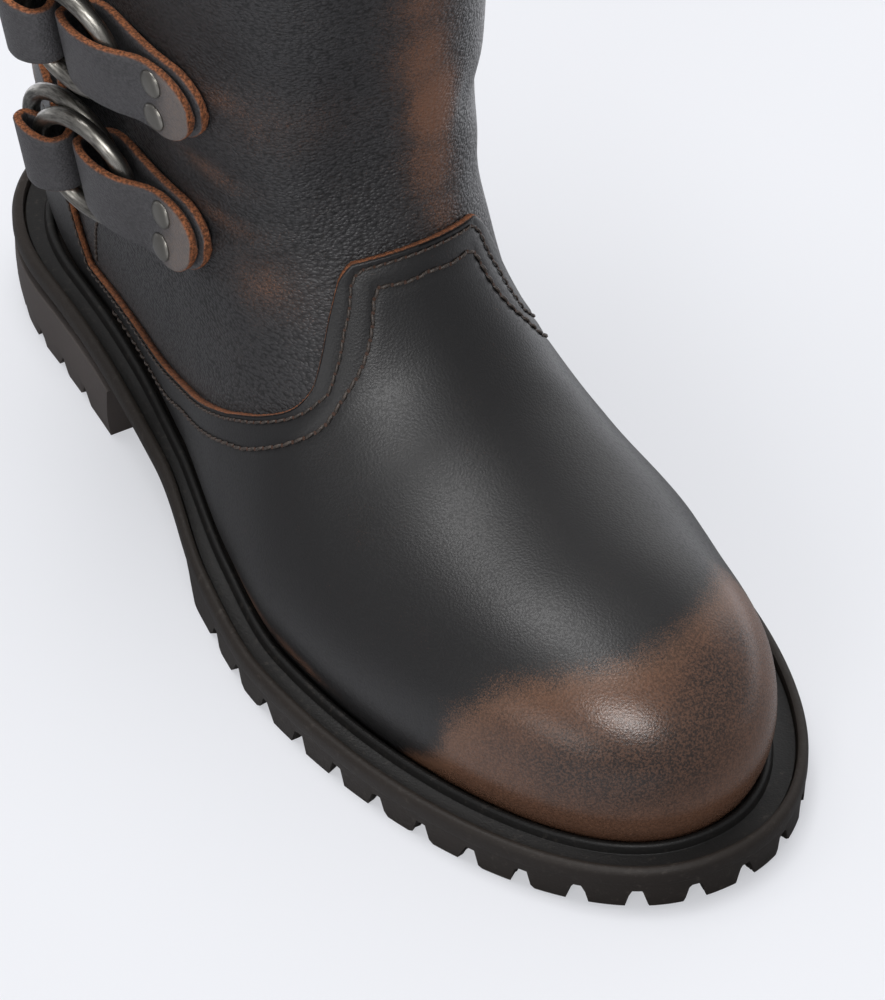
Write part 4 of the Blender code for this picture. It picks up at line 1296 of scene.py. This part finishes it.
class BootSole(bpy.types.Operator):
    """Make the lugged outsole, the heel block and the welt"""
    bl_idname = "boot.sole"
    bl_label = "Sole"

    def execute(self, context):
        values = context.scene.boot_look
        self.outsole(values.colours.sole, values.sizes.lug_depth / MM)
        self.heel(values.colours.heel)
        self.welt(values.colours.welt)
        return {"FINISHED"}

    @staticmethod
    def outsole(base, deep):
        """Raised edge, wall and lugged forefoot"""
        notches = edge_notches(*LUG_REACHES, LUG_SPACING, LUG_WIDTH / 2, LUG_REACH, deep)
        for s, turn in TREAD_BARS:
            way = np.array([cos(radians(turn)), sin(radians(turn))])
            notches.append((np.array([0.0, -s]) - way * BAR_LENGTH / 2, way, LUG_WIDTH / 2, BAR_LENGTH, deep))
        loops = [outline_loop(fixed(inset), above(drop)) for inset, drop in SOLE_PROFILE]
        loops.append(outline_loop(lambda s: WALL_INSET + recess(s) * .6, above(-4.1)))
        loops.append(outline_loop(lambda s: WALL_INSET + recess(s), above(-4.3)))
        low = outline_loop(lambda s: WALL_INSET + recess(s) + FOOT_INSET * (1 - recess(s) / RECESS), under)
        sole_body("sole_rubber_outsole", loops, low, notches, SOLE_ACROSS, rubber_look("Sole rubber", base, .50),
                  "outsole")

    @staticmethod
    def heel(base):
        """Block with small notches round its lower edge"""
        notches = edge_notches(*HEEL_REACHES, HEEL_LUG_SPACING, HEEL_LUG_HALF, HEEL_LUG_REACH, HEEL_LUG_DEPTH)

        def level(share):
            return lambda s: (rim(s) - HEEL_SEAT - GAP) * share

        loops = [outline_loop(fixed(inset), level(share), BREAST - BREAST_LEAN * (1 - share))
                 for share, inset in HEEL_PROFILE]
        low = outline_loop(fixed(.3 + HEEL_TAPER), fixed(0), BREAST - BREAST_LEAN)
        sole_body("heel_rubber_block", loops, low, notches, HEEL_ACROSS, rubber_look("Heel rubber", base, .55),
                  "heel_block")

    @staticmethod
    def welt(base):
        """Flat band inside the sole edge and a rounded lip against the upper"""
        loops = [outline_loop(fixed(inset), above(drop)) for inset, drop in WELT_BAND]
        loops += [outline_loop(lip(amount), above(drop), tuck=1) for amount, drop in WELT_LIP]
        make_piece("welt_rubber_band", np.concatenate(loops), strip_faces(len(loops), len(loops[0]), True),
                   [rubber_look("Welt rubber", base, .42)], "welt", sharp=WELT_SHARP)


class BootInsole(bpy.types.Operator):
    """Give the insole board its leather"""
    bl_idname = "boot.insole"
    bl_label = "Insole"

    def execute(self, context):
        board = frame["nodes"]["insole"]
        board.data.materials.clear()
        board.data.materials.append(
            make_look("Insole leather", paint_hide, context.scene.boot_look.colours.insole, .62))
        return {"FINISHED"}


# Straps
def smooth_path(points, count):
    """Even smooth line through points with round turns"""
    run = run_along(points)
    at = np.linspace(0, run[-1], count)
    return at, run, hermite(run, points, np.gradient(points, run, axis=0), at)


def strap_mesh(node_name, table, height, values):
    """Folded strap with rounded raw edges and round tails"""
    data = np.array(table, float)
    at, run, line = smooth_path(data[:, :2], STRAP_STATIONS)
    s, off = line[:, 0], line[:, 1]
    lean = np.clip(curve(np.stack([run, data[:, 3]], -1), at), 0, 1)
    inside = np.minimum(run, run[-1] - run) > TAIL_ROUND + 3
    wide = curve(np.stack([run, np.where(inside, data[:, 2], STRAP_HALF)], -1), at)
    tail = np.clip(1 - np.minimum(at, at[-1] - at) / TAIL_ROUND, 0, .999)
    half = np.minimum(wide, STRAP_HALF) * np.sqrt(1 - tail ** 2)
    middle, out = side_frame(s, np.full_like(s, height))
    path = middle + out * off[:, None]
    way = np.gradient(path, axis=0)
    thick = unit(np.stack([-way[:, 1], way[:, 0]], -1)) * STRAP_THICK / 2
    raw_round = values.sizes.raw_round / MM
    corner = raw_round / (STRAP_THICK / 2)
    spans = np.linspace(-1, 1, STRAP_ACROSS)
    section = [(span, 1.0, 0) for span in spans]
    section += [(1, 1 - corner, 1), (1, 0, 1), (1, corner - 1, 1)]
    section += [(span, -1.0, 0) for span in spans[::-1]]
    section += [(-1, corner - 1, 1), (-1, 0, 1), (-1, 1 - corner, 1)]
    loops, raw = [], []
    for span, depth, cut in section:
        inset = 0 if cut else raw_round * abs(span) ** 8
        z = height + span * np.maximum(half - inset, .05)
        close, close_out = side_frame(s, z)
        flat = close + close_out * off[:, None]
        leaning = path + out * ((z - height) * tan(radians(STRAP_LEAN)))[:, None]
        place = flat + (leaning - flat) * lean[:, None] + thick * depth
        loops.append(np.concatenate([place, z[:, None]], -1))
        raw.append(np.full(len(s), cut) + (half < TIP_HALF))
    count = len(section)
    faces = strip_faces(len(s), count)
    faces.append(list(range(count))[::-1])
    faces.append(list(range((len(s) - 1) * count, len(s) * count)))
    worn = np.clip(1.25 - (at[-1] - at)[:, None] / WORN_LENGTH, 0, 1) * np.ones((1, count))
    look = make_look("Strap leather", paint_strap, values.colours, Specular_IOR_Level=.32)
    make_piece("leather_" + node_name, np.stack(loops, 1), faces, [look], node_name,
               {"raw": np.clip(np.stack(raw, 1), 0, 1), "worn": worn})


class BootStraps(bpy.types.Operator):
    """Make the folded front and back straps of both closures"""
    bl_idname = "boot.straps"
    bl_label = "Straps"

    def execute(self, context):
        for label, height in UNIT_HEIGHTS.items():
            for end, table in (("front", FRONT_STRAP), ("back", BACK_STRAP)):
                strap_mesh(label + "_" + end + "_strap", table, height, context.scene.boot_look)
        return {"FINISHED"}


def ring_points(s, off, yaw, height, phase):
    """Hand-bent wire ring standing in the straps"""
    height = height + RING_LIFT
    middle, out = side_frame(np.array([s]), np.array([height]))
    centre = np.array([*(middle[0] + out[0] * off), height])
    turn, lean = radians(yaw), radians(STRAP_LEAN)
    back = np.array([-sin(turn), cos(turn), 0])
    level = np.array([-cos(turn), -sin(turn), 0])
    up = np.array([0, 0, cos(lean)]) + level * sin(lean)
    axis = np.cross(back, up)
    a = circle(RING_SEGMENTS)[:, None, None]
    b = circle(WIRE_SEGMENTS)[None, :, None]
    outward = np.cos(a) * back + np.sin(a) * up
    waves = sum(share * np.sin(count * a + (k + 1) * phase) for k, (share, count) in enumerate(WIRE_WAVES))
    wire = RING_WIRE * (1 + waves)
    radius = RING_RADIUS * (1 + RADIUS_WAVE[0] * np.sin(RADIUS_WAVE[1] * a + phase))
    points = centre + outward * radius + wire * (np.cos(b) * outward + np.sin(b) * axis)
    flat = np.zeros((RING_SEGMENTS, WIRE_SEGMENTS))
    masks = {"wrap_x": flat + np.cos(b)[..., 0], "wrap_y": flat + np.sin(b)[..., 0],
             "run": flat + STREAK_RUN * np.abs(a[..., 0] - pi) + phase}
    return points, masks


class BootMetal(bpy.types.Operator):
    """Make the rings and rivets"""
    bl_idname = "boot.metal"
    bl_label = "Rings and rivets"

    def execute(self, context):
        metal = context.scene.boot_look.colours.metal
        ring_metal = make_look("Ring metal", paint_metal, metal, *RING_SHARES, Metallic=1.0)
        rivet_metal = make_look("Rivet metal", paint_metal, metal, *RIVET_SHARES, Metallic=1.0)
        for number, (label, height) in enumerate(UNIT_HEIGHTS.items()):
            for which, s, off, yaw in RINGS:
                points, masks = ring_points(s, off, yaw, height, number * UNIT_PHASE + yaw)
                faces = strip_faces(RING_SEGMENTS, WIRE_SEGMENTS, True)
                node_name = label + "_" + which + "_ring"
                make_piece("metal_" + node_name, points, faces, [ring_metal], node_name, masks)
            for place, step in (("high", RIVET_SPREAD), ("low", -RIVET_SPREAD)):
                self.rivet(label + "_rivet_" + place, height + step, rivet_metal)
        return {"FINISHED"}

    @staticmethod
    def rivet(node_name, z, look):
        """Domed head turned from its profile"""
        middle, out = side_frame(np.array([FRONT_RIVET_S]), np.array([z]))
        seat = np.array([*(middle[0] + out[0] * RIVET_SEAT), z])
        widths = side_width(FRONT_RIVET_S, np.array([z - 3, z + 3]))
        out = unit(np.array([*out[0], (widths[0] - widths[1]) / 6]))
        side = unit(np.cross((0, 0, 1), out))
        angle = circle(RIVET_SEGMENTS)[:, None]
        turned = np.cos(angle) * side + np.sin(angle) * np.cross(out, side)
        loops = [seat + out * RIVET_RISE * up + turned * RIVET_RADIUS * max(share, .04)
                 for share, up in RIVET_PROFILE]
        faces = strip_faces(len(loops), RIVET_SEGMENTS)
        faces.append(list(range(RIVET_SEGMENTS))[::-1])
        make_piece("metal_" + node_name, np.concatenate(loops), faces, [look], node_name)


class BootStage(bpy.types.Operator):
    """Set the pale floor, the soft lights and the camera of the photograph"""
    bl_idname = "boot.stage"
    bl_label = "Stage"

    def execute(self, context):
        floor_colour = context.scene.boot_look.colours.floor
        self.floor(floor_colour)
        self.lights(floor_colour)
        self.camera()
        context.scene.view_settings.view_transform = "Standard"
        return {"FINISHED"}

    @staticmethod
    def floor(base):
        """Wide pale floor"""
        mesh = bpy.data.meshes.new("floor")
        corners = [(-1, -1), (1, -1), (1, 1), (-1, 1)]
        mesh.from_pydata([(x * FLOOR_REACH, y * FLOOR_REACH, 0) for x, y in corners], [], [(0, 1, 2, 3)])
        mesh.materials.append(make_look("Studio floor", paint_floor, base, Roughness=.9, Specular_IOR_Level=.1,
                                        Emission_Strength=1.0))
        new_object("floor", mesh)

    @staticmethod
    def lights(base):
        """Softboxes round the boot and an even pale surround"""
        world = bpy.data.worlds.new("Studio")
        bpy.context.scene.world = world
        world.use_nodes = True
        surround = world.node_tree.nodes["Background"].inputs
        surround["Color"].default_value = shade(base)
        surround["Strength"].default_value = SURROUND_LIGHT
        for name, direction, distance, width, height, power, matt, gloss in SOFTBOXES:
            light = bpy.data.lights.new(name, "AREA")
            light.shape = "RECTANGLE"
            light.size, light.size_y, light.energy = width, height, power
            way = Vector(direction).normalized()
            made = new_object(name, light)
            made.location = Vector(LIGHT_TARGET) + way * distance
            made.rotation_euler = way.to_track_quat("Z", "Y").to_euler()
            made.visible_diffuse, made.visible_glossy = matt, gloss

    @staticmethod
    def camera():
        """Camera at the photograph's angle"""
        a, e, r = radians(CAMERA_AZIMUTH), radians(CAMERA_ELEVATION), radians(CAMERA_ROLL)
        back = Vector((sin(a) * cos(e), -cos(a) * cos(e), sin(e)))
        right = Vector((cos(a), sin(a), 0))
        up = back.cross(right)
        turn = Matrix((right * cos(r) + up * sin(r), up * cos(r) - right * sin(r), back)).transposed().to_4x4()
        data = bpy.data.cameras.new("camera")
        data.sensor_fit = "VERTICAL"
        data.sensor_height = CAMERA_SENSOR
        data.lens = CAMERA_LENS
        made = new_object("camera", data)
        place = (Vector(CAMERA_TARGET) + Vector(SHIFT) + back * CAMERA_DISTANCE) * MM
        made.matrix_world = Matrix.Translation(place) @ turn
        bpy.context.scene.camera = made


PIECES = [BootUpper, BootPanel, BootStitches, BootSole, BootInsole, BootStraps, BootMetal, BootStage]


class BootSidebar(bpy.types.Panel):
    """Sidebar list of the boot's pieces and values"""
    bl_idname = "VIEW3D_PT_boot"
    bl_label = "Biker boot"
    bl_space_type = "VIEW_3D"
    bl_region_type = "UI"
    bl_category = "Boot"

    def draw(self, context):
        for piece in PIECES:
            self.layout.operator(piece.bl_idname)
        for values in (context.scene.boot_look.sizes, context.scene.boot_look.colours):
            for key in type(values).__annotations__:
                self.layout.prop(values, key)


CLASSES = [BootSizes, BootColours, BootLook, *PIECES, BootSidebar]


def register():
    """Add the classes and the boot's values"""
    for item in CLASSES:
        bpy.utils.register_class(item)
    bpy.types.Scene.boot_look = PointerProperty(type=BootLook)


def unregister():
    """Take the classes and the boot's values away"""
    del bpy.types.Scene.boot_look
    for item in reversed(CLASSES):
        bpy.utils.unregister_class(item)


def main():
    """Dress the boot piece by piece"""
    register()
    for piece in PIECES:
        group, name = piece.bl_idname.split(".")
        getattr(getattr(bpy.ops, group), name)()


if __name__ == "__main__":
    main()
